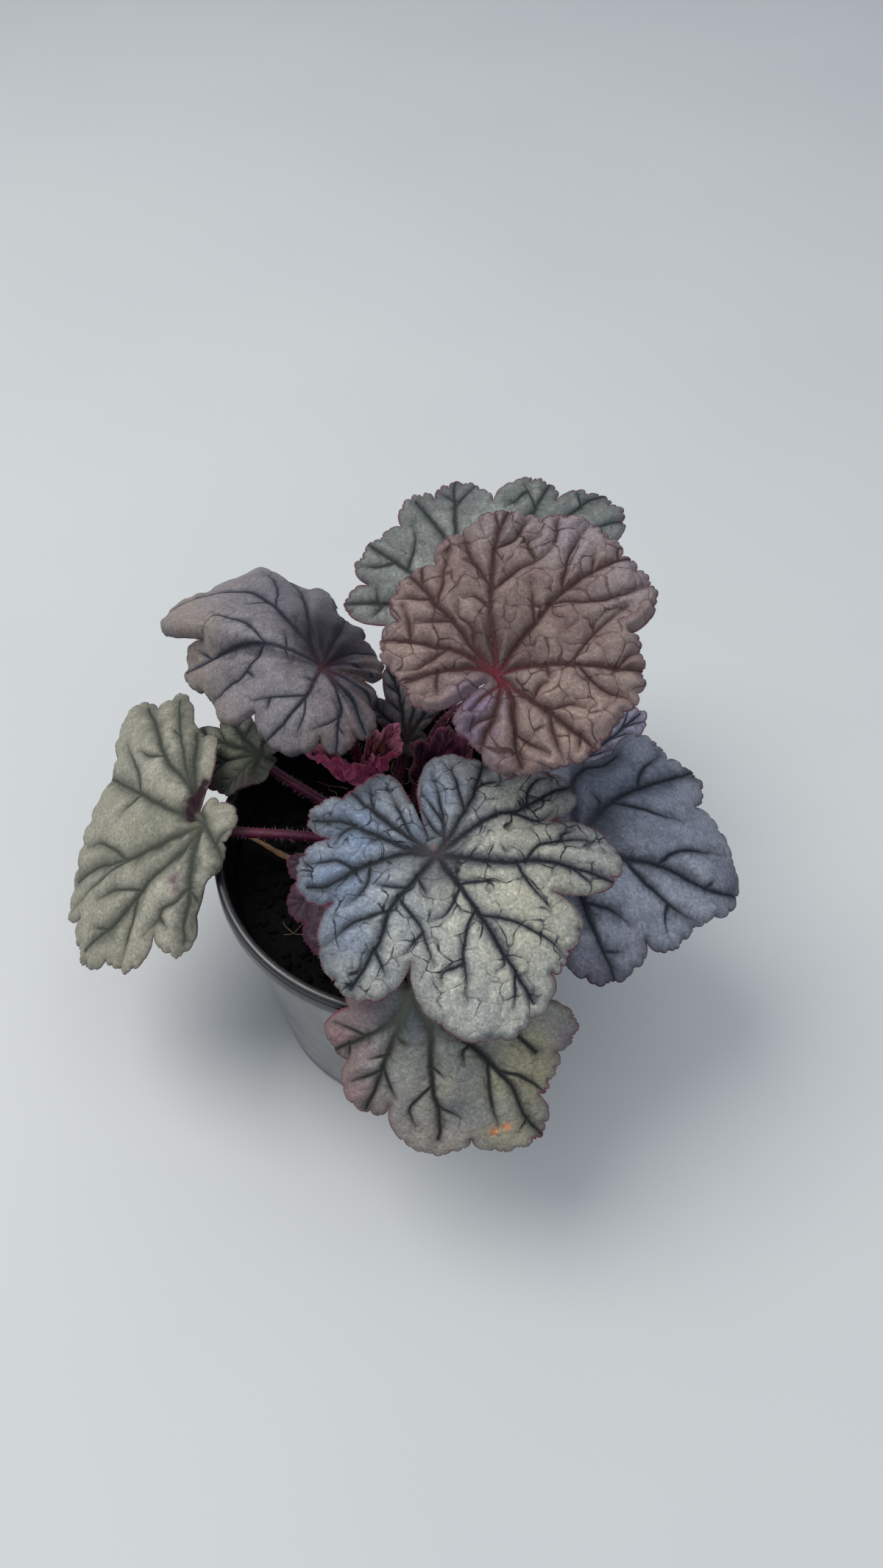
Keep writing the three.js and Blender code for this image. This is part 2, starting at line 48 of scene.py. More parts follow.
POT = {
    "height": 85, "rim_radius": 52.5, "rim_height": 6.5, "rim_width": 2.5, "wall_top_radius": 49.6,
    "base_radius": 38.5, "wall": 1.3, "floor": 1.8,
    "drain_holes": 8, "drain_hole_radius": 3.2, "drain_circle": 31,
}
SOIL_LEVEL = 73
TOUCH_GAP = 0.3
CROWN = {"radius": 10.5, "foot": 60, "dome_centre": 69}
CROWN_RINGS = {"outer": 40, "inner": 68}
STALK_RADIUS = {"main": 1.45, "small": 1.1}
SOLID_BLADE_THICKNESS = 0.7
SOLID_HUB_GAP = 0.36
SINUS_REACH = 3
LOBE_ROUNDNESS = 0.7
SPENT_STALK = {
    "azimuth": -152, "radius": 0.9,
    "points": [(-17, -6, 79), (-32, -4, 79), (-42, 0, 80.5), (-47, 1.5, 82)],
}

# ---------------------------------------------------------------- sizes of the fine pieces

BLADE_THICKNESS = 0.46
MARGIN_THICKNESS = 0.24
EDGE_INSET = 0.25
SAMPLES_A_TOOTH = 70
# Teeth cut into the edge: share of the reach, the shallowest as a share of the deepest, and how blunt they
# are.
BIG_TEETH = (0.05, 0.35, 0.42)
SMALL_TEETH = (0.026, 0, 0.5)
# The grid of points in a blade: height of a row, looseness and gap to the edge, as shares of the pitch.
GRID = {"row": 0.866, "loose": 0.12, "edge_gap": 0.55}
# The finest veins run between cells round loosened seeds, as shares of the net's pitch. Some seeds are left
# out.
NET = {"loose": 0.45, "left_out": 0.25, "bow": 0.3, "bow_pitch": 0.6, "half_width": 0.16}
# Veins of a leaf without routes, as shares of a lobe's reach or of the angle to the next lobe.
RULE = {
    "rib": ((0.9, 0.3), (1, 0.93)), "forks": (0.36, 0.58, 0.74), "spread": 0.42, "end_spread": 14,
    "fork": ((0, 0), (0.7, 0.1), (1.5, 0.2)),
}
LINE_PITCH = 0.2
# How far the veins wander from their routes, and over what length.
VEIN_WANDER = (0.3, 3.1)
JOIN_REACH = 4
# The signed distance across a line is also 0 past its end and between two lines. The shader fades a line out
# this far from it.
LINE_GUARD = 0.45
# Smooth noise over a blade: pitch of its lumps, and what is added to the blade's seed.
WAVES = {
    "quilt": (6, 11), "bend": (11, 12), "ruffle": (4.6, 13), "crumple": (3.2, 14),
    "halo": (3.7, 15), "edge": (5, 16), "margin": (7, 17), "fine_halo": (1.1, 19),
}
BEND_HEIGHT = 0.35
RUFFLE_HEIGHT = 0.4
ROLLED_EDGE = 0.25
SUNKEN = {"rib": 0.26, "branch": 0.18}
RAISED_BELOW = {"rib": 0.5, "branch": 0.25}
# The cells of the finest net have this share of their height at least, and up to that much more.
CELL_HEIGHTS = (0.55, 0.8)

FINE_HUB_GAP = 0.75
STALK_SIDES = 20
EDGE_HAIR = {"share_of_edges": 0.42, "length": (0.25, 0.6), "radius": 0.035}
STALK_HAIR = {"each_millimetre": 5, "length": (0.5, 1.3), "radius": 0.045, "rooted": 0.05}
# A turned surface starts this far off its axis, so that no face has two corners in one place.
AXIS_GAP = 0.01
SCALES = {
    "count": 26, "heights": (12, 30, 50), "length": (4.5, 7.5), "width": (3, 5), "lean": (1.0, 3.2),
    "thickness": 0.35,
}
CRUMBS = {"count": 620, "field": 45.5, "smallest": 0.25, "range": 1.5}
FIBRES = {
    "count": 46, "starts": (15, 41), "steps": 6, "step": (1.0, 2.6), "field": 44, "radius": (0.12, 0.26),
}
FIBRE_TIP_RADIUS = 0.06
TWIG_POINTS = [(-27, -19, 74.2), (-23, -22, 75.0), (-19, -23.5, 74.8), (-15.5, -26, 74.4)]
POT_SEGMENTS = 224
DRAIN_SIDES = 32
FOOT_BEVEL = 1.5
# The rim's band from its foot up: (inset from the rim's radius, rise over the band's foot).
RIM_PROFILE = [
    (0.9, 0), (0.35, 0.25), (0.08, 0.7), (0, 1.3), (0, 3.9), (0.1, 4.3), (0.42, 4.5), (0.42, 4.75),
    (0.1, 4.95),
    (0.02, 5.3), (0.12, 5.75), (0.4, 6.15), (0.85, 6.42),
]
SEEDS = {"soil": 301, "crown": 302, "spent_stalk": 303, "blades": 1000, "stalks": 2000, "step": 60}
CAMERA = {"pitch": 52, "roll": 3.6, "lens": 27.03, "place": (0.008, -0.1844, 0.3467)}
# Round soft lamps: name, place, height of the point over the pot's middle that it faces, size, power and
# colour.
LAMPS = [
    ("window", (-0.55, 0.05, 1.15), 0.08, 0.75, 10.5, (1.0, 0.98, 0.93)),
    ("ceiling", (0.15, -0.1, 1.5), 0.05, 1.2, 4, (0.97, 0.985, 1.0)),
    ("front", (0.5, -1.2, 0.9), 0.06, 0.9, 2, (0.95, 0.975, 1.0)),
]
SKY = {"colour": (0.79, 0.88, 1.0, 1), "strength": 0.56}

# ---------------------------------------------------------------- the leaves

# Each leaf's pose is the tilt of its face, the way it leans and the heading of its midrib.
#   lobe:  (angle from the midrib, reach along the blade, rise at the hub, bend up to the tip, teeth)
#   cleft: (angle from the midrib, reach)
#   sinus: the direction of the gap between the basal lobes, up to which the angles run from one turn before.
#   half_gap: half of that gap's angle. basal: roundness of the first and the last lobe towards it.
# Ribs and branches are the routes of its veins as (angle, reach). A rib starts where the ribs meet, at the
# hub or at the leaf's "meet". A leaf without routes gets a rib for each lobe.
PLAIN_LEAF = {"half_gap": 3, "sinus": 180, "basal": (LOBE_ROUNDNESS, LOBE_ROUNDNESS), "meet": (0, 0)}
LEAVES = [
    {
        "name": "leaf_front", "hub": (7, -23, 115), "pose": (24, -80, -60), "basal": (0.5, 0.15),
        "half_gap": 1.2, "sinus": 185, "meet": (2, 2.0),
        "stalk": {"ring": "outer", "azimuth": -92, "sweep": (2, -16, 90), "last": 14},
        "lobes": [
            (-139, 26.5, -6, -8, 5), (-85, 39, 3, -12, 3), (-57, 47, 8, -18, 3), (-34, 42, 9, -22, 3),
            (4, 49.5, 7, -25, 4), (55, 41.5, 5, -25, 4), (103, 35.5, 0, -25, 4), (133, 33, -3, -20, 3),
            (167, 25.5, -8, -10, 5),
        ],
        "clefts": [
            (-106, 28), (-77, 32), (-43, 32.5), (-17, 43.5), (38, 29.5), (89, 29), (124, 27), (149, 27.5),
        ],
        "ribs": [
            [(150, 16), (155, 28)], [(124, 8.5), (134, 26), (132, 30)],
            [(98, 4), (106, 9), (102, 18.5), (98, 27.5), (100, 31.5)], [(60, 21), (57, 26), (57, 38.5)],
            [(-7, 23), (-6, 43.5)], [(-53, 20), (-56, 25), (-55, 35), (-53, 44)],
            [(-91, 18), (-88, 22), (-89, 34), (-87, 38.5)], [(-116, 16.5), (-123, 25)],
        ],
        "branches": [
            [(145, 4.5), (163, 11), (172, 18.5)], [(152, 17.5), (166, 23.5)],
            [(132, 20), (127, 22.5), (121, 24)], [(102, 19.5), (109, 22.5), (111, 26), (111, 31.5)],
            [(102, 15.5), (91, 17), (83, 25)], [(61, 18), (73, 25.5), (75, 34.5)], [(67, 11.5), (86, 16.5)],
            [(55, 28), (47, 32.5)], [(58, 14.5), (35, 20), (27, 28)], [(35, 20.5), (42, 26)],
            [(5, 12), (21, 17), (28, 17.5)], [(-5, 18), (4, 20.5), (10, 24.5), (14, 37)],
            [(12, 28.5), (23, 30), (24, 32.5)], [(-6, 26.5), (-4, 32.5), (0, 33)],
            [(-6, 19.5), (-20, 26), (-24, 33.5), (-24, 42.5)], [(-6, 35.5), (0, 42.5)], [(54, 8), (35, 11.5)],
            [(-53, 20), (-41, 25.5), (-36, 31)], [(-55, 34), (-50, 39.5)],
            [(-58, 22), (-64, 25), (-66, 28.5), (-67, 32.5), (-66, 41)],
            [(-66, 30.5), (-70, 31.5), (-71, 34.5)], [(-51, 13), (-43, 15)],
            [(-90, 25.5), (-96, 28), (-97, 31), (-96, 34.5)], [(-85, 21), (-78, 28), (-81, 30.5)],
            [(-90, 17.5), (-96, 18.5)], [(-10, 11), (-31, 15), (-36, 18.5)], [(-118, 12), (-139, 21.5)],
            [(-117, 19), (-114, 21.5), (-109, 24)], [(-104, 2.5), (-128, 6), (-140, 10), (-152, 18.5)],
            [(-116, 3.5), (-156, 5.5), (-170, 13)], [(-137, 6.5), (-161, 14)],
        ],
    },
    {
        "name": "leaf_top", "hub": (19, 1.5, 150), "pose": (22, -75, 62), "basal": (0.36, 0.22),
        "half_gap": 0.2, "sinus": 197,
        "stalk": {"ring": "outer", "azimuth": 88, "sweep": (1, 50, 92), "last": 30},
        "lobes": [
            (-137, 21.5, -2, -12, 3), (-104, 29, -4, -12, 3), (-71, 34.5, -2, -12, 3), (-51, 39.5, 0, -12, 3),
            (-30, 44, 5, -12, 4), (-5, 46, 10, -12, 4), (24, 43.5, 16, -14, 4), (56, 34.5, 19, -14, 4),
            (90, 29.5, 15, -14, 4), (130, 24.5, 2, -14, 4), (175, 16.5, -4, -10, 3),
        ],
        "clefts": [
            (-118, 26.5), (-92, 29), (-60, 33.5), (-40, 42.5), (-19, 42), (10, 44), (38, 34), (74, 31.5),
            (106, 28), (156, 19.5),
        ],
        "ribs": [
            [(-37, 22.5), (-32, 38.5), (-29, 44)], [(0, 14), (3, 25.5), (10, 40), (15, 47)],
            [(38, 5.5), (45, 11), (55, 34.5)], [(95, 28)], [(109, 3.5), (125, 12), (131, 18.5), (130, 22)],
            [(123, 2.5), (143, 6.5), (157, 17.5)], [(-102, 4), (-114, 8), (-119, 12), (-128, 21)],
            [(-86, 5), (-99, 19.5), (-104, 28)], [(-71, 33.5)],
        ],
        "branches": [
            [(-37, 22.5), (-45, 32.5), (-45, 41)], [(-35, 21.5), (-21, 28), (-14, 32), (-12, 36)],
            [(-32, 37.5), (-34, 41), (-34, 43.5)], [(-33, 32), (-29, 33.5), (-23, 41.5)],
            [(-19, 31), (-21, 35), (-18, 37)], [(1, 25.5), (-5, 35), (-5, 40.5), (-4, 43.5)],
            [(8, 34), (3, 38)], [(10, 40.5), (8, 43), (9, 45.5)], [(4, 21.5), (20, 31.5), (24, 42.5)],
            [(-2, 15.5), (-15, 24)], [(-11, 38), (-14, 44)], [(48, 16.5), (32, 25), (27, 34)],
            [(52, 19), (62, 22), (67, 25.5), (68, 30.5), (70, 32.5)], [(54, 27.5), (49, 29.5), (47, 33)],
            [(46, 11.5), (61, 12.5)], [(94, 14.5), (82, 18), (79, 22)], [(94, 15.5), (103, 18.5), (109, 25)],
            [(95, 24), (100, 25.5)], [(93, 10.5), (73, 10.5), (66, 12)], [(127, 14.5), (113, 22)],
            [(124, 2.5), (175, 5.5), (-179, 10)], [(150, 9.5), (165, 11.5), (171, 14.5)],
            [(-122, 13.5), (-133, 14), (-143, 14)], [(-99, 12.5), (-118, 18.5), (-120, 22.5)],
            [(-100, 22), (-90, 24.5), (-85, 28)], [(-68, 22.5), (-52, 34.5)], [(-71, 24.5), (-83, 30.5)],
            [(-71, 28.5), (-64, 35)], [(-72, 17), (-87, 23.5)],
            [(-63, 8), (-60, 13.5), (-64, 17.5), (-59, 20.5)], [(-49, 17.5), (-51, 21), (-55, 21)],
            [(-10, 19), (-1, 19.5)],
        ],
    },
    {
        "name": "leaf_upper_left", "hub": (-23, 15, 135), "pose": (22, -120, 171), "basal": (0.35, 0.25),
        "half_gap": 0.5, "stalk": {"ring": "outer", "azimuth": 128, "sweep": (-20, 32, 88), "last": 18},
        "lobes": [
            (-170, 15.5, -13, -28, 3), (-135, 21.5, -3, -35, 3), (-106, 23, -6, -45, 3),
            (-57, 26.5, -2, -50, 4), (-15, 41, 1, -60, 3), (3, 55, 4, -60, 3), (14, 66, 16, -70, 5),
            (45, 60, 5.5, -63, 3), (62, 47.5, -4, -63, 3), (88, 22, -7, -48, 3), (135, 19.5, -29, -31, 3),
        ],
        "clefts": [
            (-146, 20), (-125, 20), (-95, 18.5), (-34, 23.5), (-6, 46.5), (9, 41), (29, 57), (53, 47),
            (75, 34), (112, 18),
        ],
        "ribs": [
            [(22, 8), (16, 12), (9, 22.5), (2, 41.5), (2, 51)],
            [(51, 4.5), (44, 16.5), (41, 29), (38, 37.5), (32, 45), (24, 53), (17, 60)],
            [(49, 5), (59, 16), (58, 32), (56, 40), (53, 47)], [(92, 12.5), (87, 22.5)],
            [(122, 7.5), (130, 17.5)], [(141, 6), (153, 10.5), (165, 13.5)],
            [(-165, 9), (-162, 13), (-157, 16)], [(-143, 11), (-134, 19.5)],
            [(-134, 6), (-126, 9.5), (-119, 13), (-106, 21.5)], [(-67, 8), (-63, 12), (-56, 20.5), (-52, 25)],
        ],
        "branches": [
            [(12, 16), (19, 20), (21, 30.5), (19, 36), (10, 37.5)],
            [(9, 16), (-6, 22.5), (-11, 35), (-11, 43)], [(17, 10.5), (7, 9.5)], [(4, 35), (6, 41)],
            [(-5, 21.5), (-10, 20)], [(43, 23.5), (48, 30), (49, 38.5), (47, 48)], [(39, 28), (32, 32)],
            [(46, 9), (44, 13.5), (51, 17.5)], [(26, 10.5), (33, 14.5)], [(91, 14), (82, 19)],
            [(-118, 13.5), (-91, 15.5)], [(-114, 15.5), (-118, 18)], [(-65, 8), (-26, 21.5)],
            [(-65, 8.5), (-76, 12), (-75, 18.5)], [(-70, 4), (-39, 5)], [(-33, 16), (-39, 18.5)],
        ],
    },
    {
        "name": "leaf_far_left", "hub": (-56, -4, 93), "pose": (38, 180, -116), "basal": (0.8, 0.8),
        "half_gap": 1.5, "meet": (-85, 3.0),
        "stalk": {"ring": "outer", "azimuth": -178, "sweep": (-20, -2, 93), "last": 8},
        "lobes": [
            (-157, 8.5, 8, -10, 2), (-112, 12.2, -12, -20, 3), (-23, 16.5, -15, -25, 3), (2, 37, -6, -30, 3),
            (24.5, 46.5, 1, -30, 3), (42, 55.5, 6, -30, 3), (57, 54, 11, -30, 4), (97, 47.5, 19, -30, 4),
            (126, 61, 17, -20, 4), (141, 55.5, 14, -20, 3), (153, 32, 9, -15, 3),
        ],
        "clefts": [
            (-142, 8.2), (-67, 11.5), (-10, 27.5), (13, 34), (32.8, 48.6), (52, 50.5), (80, 50), (112, 52),
            (134, 54), (147, 41.5),
        ],
        "ribs": [
            [(57, 23), (66, 38.5), (67, 48)], [(103, 10), (105, 38), (106, 53)],
            [(146, 10), (131, 29.5), (132, 44.5), (131, 53)], [(143, 18.5), (142, 48.5)],
            [(149, 13.5), (149, 32)], [(11, 9.5), (30, 19.5), (35, 36.5), (38, 42.5), (42, 50)],
            [(-14, 7.5), (-8, 18), (-3, 32)], [(-56, 10), (-48, 14), (-34, 16)],
        ],
        "branches": [
            [(59, 24.5), (70, 29.5), (76, 36), (78, 44)], [(54, 18), (58, 40.5), (57, 49.5)],
            [(107, 25.5), (113, 31.5), (118, 47)], [(100, 25), (91, 30)], [(95, 16.5), (110, 15)],
            [(130, 28.5), (125, 31.5), (121, 38)], [(142, 32.5), (138, 38)],
            [(32, 23.5), (48, 32.5), (51, 38)], [(32, 25.5), (27, 34.5), (26, 43)], [(36, 39.5), (44, 43.5)],
            [(-7, 18), (2, 21.5), (11, 24), (13, 28), (18, 33)], [(-8, 18.5), (-12, 22.5)],
            [(13, 26.5), (8, 28.5)], [(-60, 10), (-80, 10), (-92, 11.5)],
        ],
    },
    {
        "name": "leaf_right", "hub": (44, -7.5, 101), "pose": (20, -20, -1),
        "stalk": {"ring": "outer", "azimuth": -20, "sweep": (20, -5, 90), "last": 14},
        "lobes": [
            (-92, 24.5, 2, -10, 3), (-61, 44.5, 7, -15, 3), (-37, 47.5, 10, -20, 4), (3, 50.5, 9, -25, 4),
            (31, 39.5, 5, -25, 4), (72, 38.5, -1, -20, 4), (120, 26.5, -17, -10, 3),
        ],
        "clefts": [(-72, 32), (-50, 44), (-28, 41), (15, 45), (47, 33.5), (91, 31)],
        "ribs": [
            [(-61, 8), (-41, 47)], [(20, 6.5), (6, 24), (7, 41.5), (5, 47.5)],
            [(86, 8), (82, 16), (67, 37.5)], [(-102, 10), (-92, 19), (-84, 23), (-74, 25), (-69, 29.5)],
        ],
        "branches": [
            [(-48, 25), (-54, 29.5), (-53, 40)], [(-48, 15), (-23, 31)],
            [(5, 22.5), (-5, 27), (-8, 33.5), (-9, 43)], [(7, 38), (3, 40.5)],
            [(12, 12.5), (21, 19), (23, 29.5), (22, 35), (20, 40)], [(23, 29), (30, 30.5), (34, 33)],
            [(81, 16.5), (55, 21.5), (51, 25)], [(71, 29.5), (61, 31)], [(-56, 9.5), (-66, 13), (-77, 15)],
        ],
    },
    {
        "name": "leaf_back", "hub": (12.5, 64, 105), "pose": (24, -95, 117),
        "stalk": {"ring": "outer", "azimuth": 45, "sweep": (18, 24, 80), "last": 10},
        "lobes": [
            (-83, 26, 11, -8, 3), (-52, 37.5, 4, -12, 3), (-32, 39, 9, -15, 3), (5, 45, 8, -15, 4),
            (22, 46, 10, -15, 4), (52, 54, 5, -15, 4), (76, 65, -1, -15, 4), (99, 45, 0, -12, 3),
            (151, 32, 2, -8, 3),
        ],
        "clefts": [(-65, 25), (-41, 33.5), (-6, 38), (13, 43), (38, 42), (60, 53), (85, 50), (123, 33)],
        "ribs": [
            [(-21, 23.5), (-23, 38)], [(-38, 8.5), (-45, 16.5), (-52, 36.5)],
            [(16, 15.5), (12, 28.5), (5, 41.5)], [(21, 38), (22, 45)], [(58, 22), (55, 52.5)],
            [(66, 27.5), (67, 51), (68, 58.5), (70, 64)], [(80, 28), (78, 59), (80, 63.5)],
            [(52, 34), (55, 41)],
        ],
        "branches": [
            [(-24, 28), (-30, 32), (-33, 37.5)], [(-17, 24), (-6, 28.5), (0, 35.5)],
            [(-50, 26.5), (-42, 28.5)], [(-50, 25), (-59, 28)], [(24, 36.5), (30, 44)],
            [(19, 38.5), (15, 43)], [(54, 43), (47, 49.5)], [(46, 44.5), (44, 39.5)], [(67, 53.5), (63, 57)],
        ],
    },
    {
        "name": "leaf_low_front", "hub": (4, -49.5, 91), "pose": (36, -90, -68),
        "stalk": {"ring": "outer", "azimuth": -62, "sweep": (4, -24, 84), "last": 10},
        "lobes": [
            (-83, 24.5, -11, -10, 3), (-53, 45, -5, -20, 3), (-35, 46.5, -8, -25, 3), (-17, 53.5, -2, -30, 5),
            (13, 47, -4, -30, 4), (46, 34.5, 1, -30, 4), (87, 25.5, 1, -30, 3), (118, 16.5, -1, -10, 3),
        ],
        "clefts": [(-64, 33), (-43, 43), (-27, 46), (2, 45), (34, 32.5), (67, 25), (100, 17)],
        "ribs": [
            [(54, 5.5), (76, 25)], [(44, 32)], [(-7, 8), (10, 21.5), (11, 26.5), (10, 30.5), (13, 40)],
            [(-24, 29.5), (-23, 35), (-18, 45.5), (-18, 52)], [(-46, 17), (-44, 29), (-40, 36)],
        ],
        "branches": [
            [(74, 15), (91, 20.5)], [(73, 20.5), (67, 23)], [(44, 20.5), (56, 27)], [(42, 20), (32, 27.5)],
            [(44, 11), (26, 13)], [(45, 16.5), (54, 19)], [(13, 24), (24, 30.5), (22, 35.5)],
            [(10, 30), (3, 35)], [(8, 19), (2, 22.5)], [(-23, 26), (-16, 30.5), (-9, 42)],
            [(-24, 29.5), (-29, 40.5), (-27, 49)], [(-26, 19.5), (-18, 19), (-14, 22)],
            [(-17, 45), (-14, 47)],
        ],
    },
    {
        "name": "leaf_back_left", "hub": (-42.5, 21, 92), "pose": (14, 150, 176),
        "stalk": {"ring": "outer", "azimuth": 155, "sweep": (-20, 11, 86), "last": 8},
        "lobes": [
            (-167, 5, -10, -10, 2), (-83, 9.5, -9, -20, 3), (-50, 16, -1, -25, 3), (4, 30, -5, -30, 4),
            (30, 38, 0, -25, 4), (50, 24, 8, -20, 4), (97, 9.5, 15, -10, 3),
        ],
        "clefts": [(-121, 6.5), (-63, 13), (-26, 19), (17, 26), (40, 21.5), (73, 9)],
    },
    {
        "name": "leaf_back_right", "hub": (37.5, 14.5, 92), "pose": (12, -60, 47), "basal": (0.7, 2),
        "stalk": {"ring": "outer", "azimuth": 12, "sweep": (20, 7, 86), "last": 7},
        "lobes": [
            (-94, 12, -1, -10, 3), (-27, 36, 1, -12, 3), (-1, 41.5, 5, -12, 4), (16, 37.5, 6, -12, 3),
            (49, 21.5, 4, -10, 3),
        ],
        "clefts": [(-61, 10), (-13, 31), (8, 32), (33, 17)],
    },
    {
        "name": "leaf_back_centre", "hub": (-2.5, 23.5, 97), "pose": (34, -90, 78), "basal": (3, 3),
        "stalk": {"ring": "inner", "azimuth": 125, "sweep": (-7, 14, 86), "last": 5},
        "lobes": [
            (-90, 7, 6, -10, 2), (-56, 16, 6, -10, 3), (-28, 24, 15, -15, 3), (-5, 27, 15, -15, 3),
            (16, 22, 6, -10, 3), (46, 6.6, 2, -10, 3), (82, 6.2, 0, -10, 2),
        ],
        "clefts": [(-73, 6), (-42, 13.5), (-17, 20.5), (6, 19.5), (32, 6), (64, 5.8)],
    },
    {
        "name": "leaf_low_left", "hub": (-13, -18, 90), "pose": (15, -150, -165),
        "stalk": {"ring": "outer", "azimuth": -125, "sweep": (-9, -11, 81), "last": 5},
        "lobes": [
            (-90, 17, -2, -15, 3), (-54, 21.5, -1, -20, 3), (-1, 19.5, 3, -20, 4), (40, 21.5, 8, -20, 3),
            (65, 14.5, 6, -15, 3), (124, 9.5, 0, -10, 3),
        ],
        "clefts": [(-72, 14.5), (-22, 17), (21, 16), (53, 12), (95, 8)],
    },
    {
        "name": "young_leaf_crimson", "hub": (-14, 15.5, 88), "pose": (8, 60, -54), "basal": (1.2, 1.2),
        "stalk": {"ring": "inner", "azimuth": 175, "sweep": (-9, 8, 82), "last": 3, "small": True},
        "lobes": [
            (-120, 20, 71, 15, 4), (-81, 23, 61, 15, 5), (-45, 19.5, 53, 15, 3), (-13, 16.5, 68, 15, 3),
            (79, 16, 53, 20, 4), (121, 22.5, 32, 20, 4),
        ],
        "clefts": [(-101, 19.5), (-63, 19.5), (-29, 16.5), (33, 15), (100, 17.5)],
    },
    {
        "name": "young_leaf_dark", "hub": (5, 16, 85), "pose": (8, 90, 87), "basal": (2, 2),
        "stalk": {"ring": "inner", "azimuth": 45, "sweep": (4, 10, 81), "last": 2.5, "small": True},
        "lobes": [
            (-109, 11, 44, 20, 3), (-90, 19, 67, 15, 3), (54, 23.5, 70, 15, 4), (88, 22.5, 56, 15, 3),
            (110, 16.5, 39, 10, 3),
        ],
        "clefts": [(-99, 12.5), (-18, 16), (71, 22), (99, 17)],
    },
]

# ---------------------------------------------------------------- looks of the blades

# Colours are sRGB, 0 to 255. "quilt" is how far the blade swells between its veins, over a width of "swell",
# and "net" the height and pitch of the cells of the finest veins. "veins" are half-widths: a rib at the hub
# and at its tip, a branch at its ends. "pitch" is the distance between points and "ragged" how uneven the
# edge is. "soft" blurs the veins. "frost" and "mesh" are the strengths of pale specks and of a pale grain,
# and the valley key that of painted shade in the valleys of the net. "halo" is the colour of the dark band
# beside the veins: partly the leaf's own darker colour there, partly painted shade of the sunken veins. The
# other names with net, hub, halo and edge say how far or how strongly these show. "tints" are patches:
# colour, then (angle, reach, radius, strength); some of them paint light, shade or a reflection, as marked
# below. The spots of painted shade are listed the same way and take the leaf's colour for painted shade.
# "puckers" are (angle, reach, radius, height) and "pleats" (angle, spread, pitch, height).
PLAIN_LOOK = {
    "under": (110, 44, 74), "quilt": 0.85, "swell": 2.0, "net": (0.3, 4.6), "crumple": 0, "pitch": 0.42,
    "ragged": 0.18, "veins": (0.55, 0.25, 0.3, 0.14), "halo_width": 1.2, "edge_width": 1.8, "hub_size": 3,
    "hub_vein_size": 8, "net_reach": 2.8, "net_far": 0.0, "net_strength": 0.4, "soft": 0.4, "painted_valley_shade": 0.12,
    "frost": 0.5, "mesh": 0.3, "tints": [], "puckers": [], "pleats": [],
}
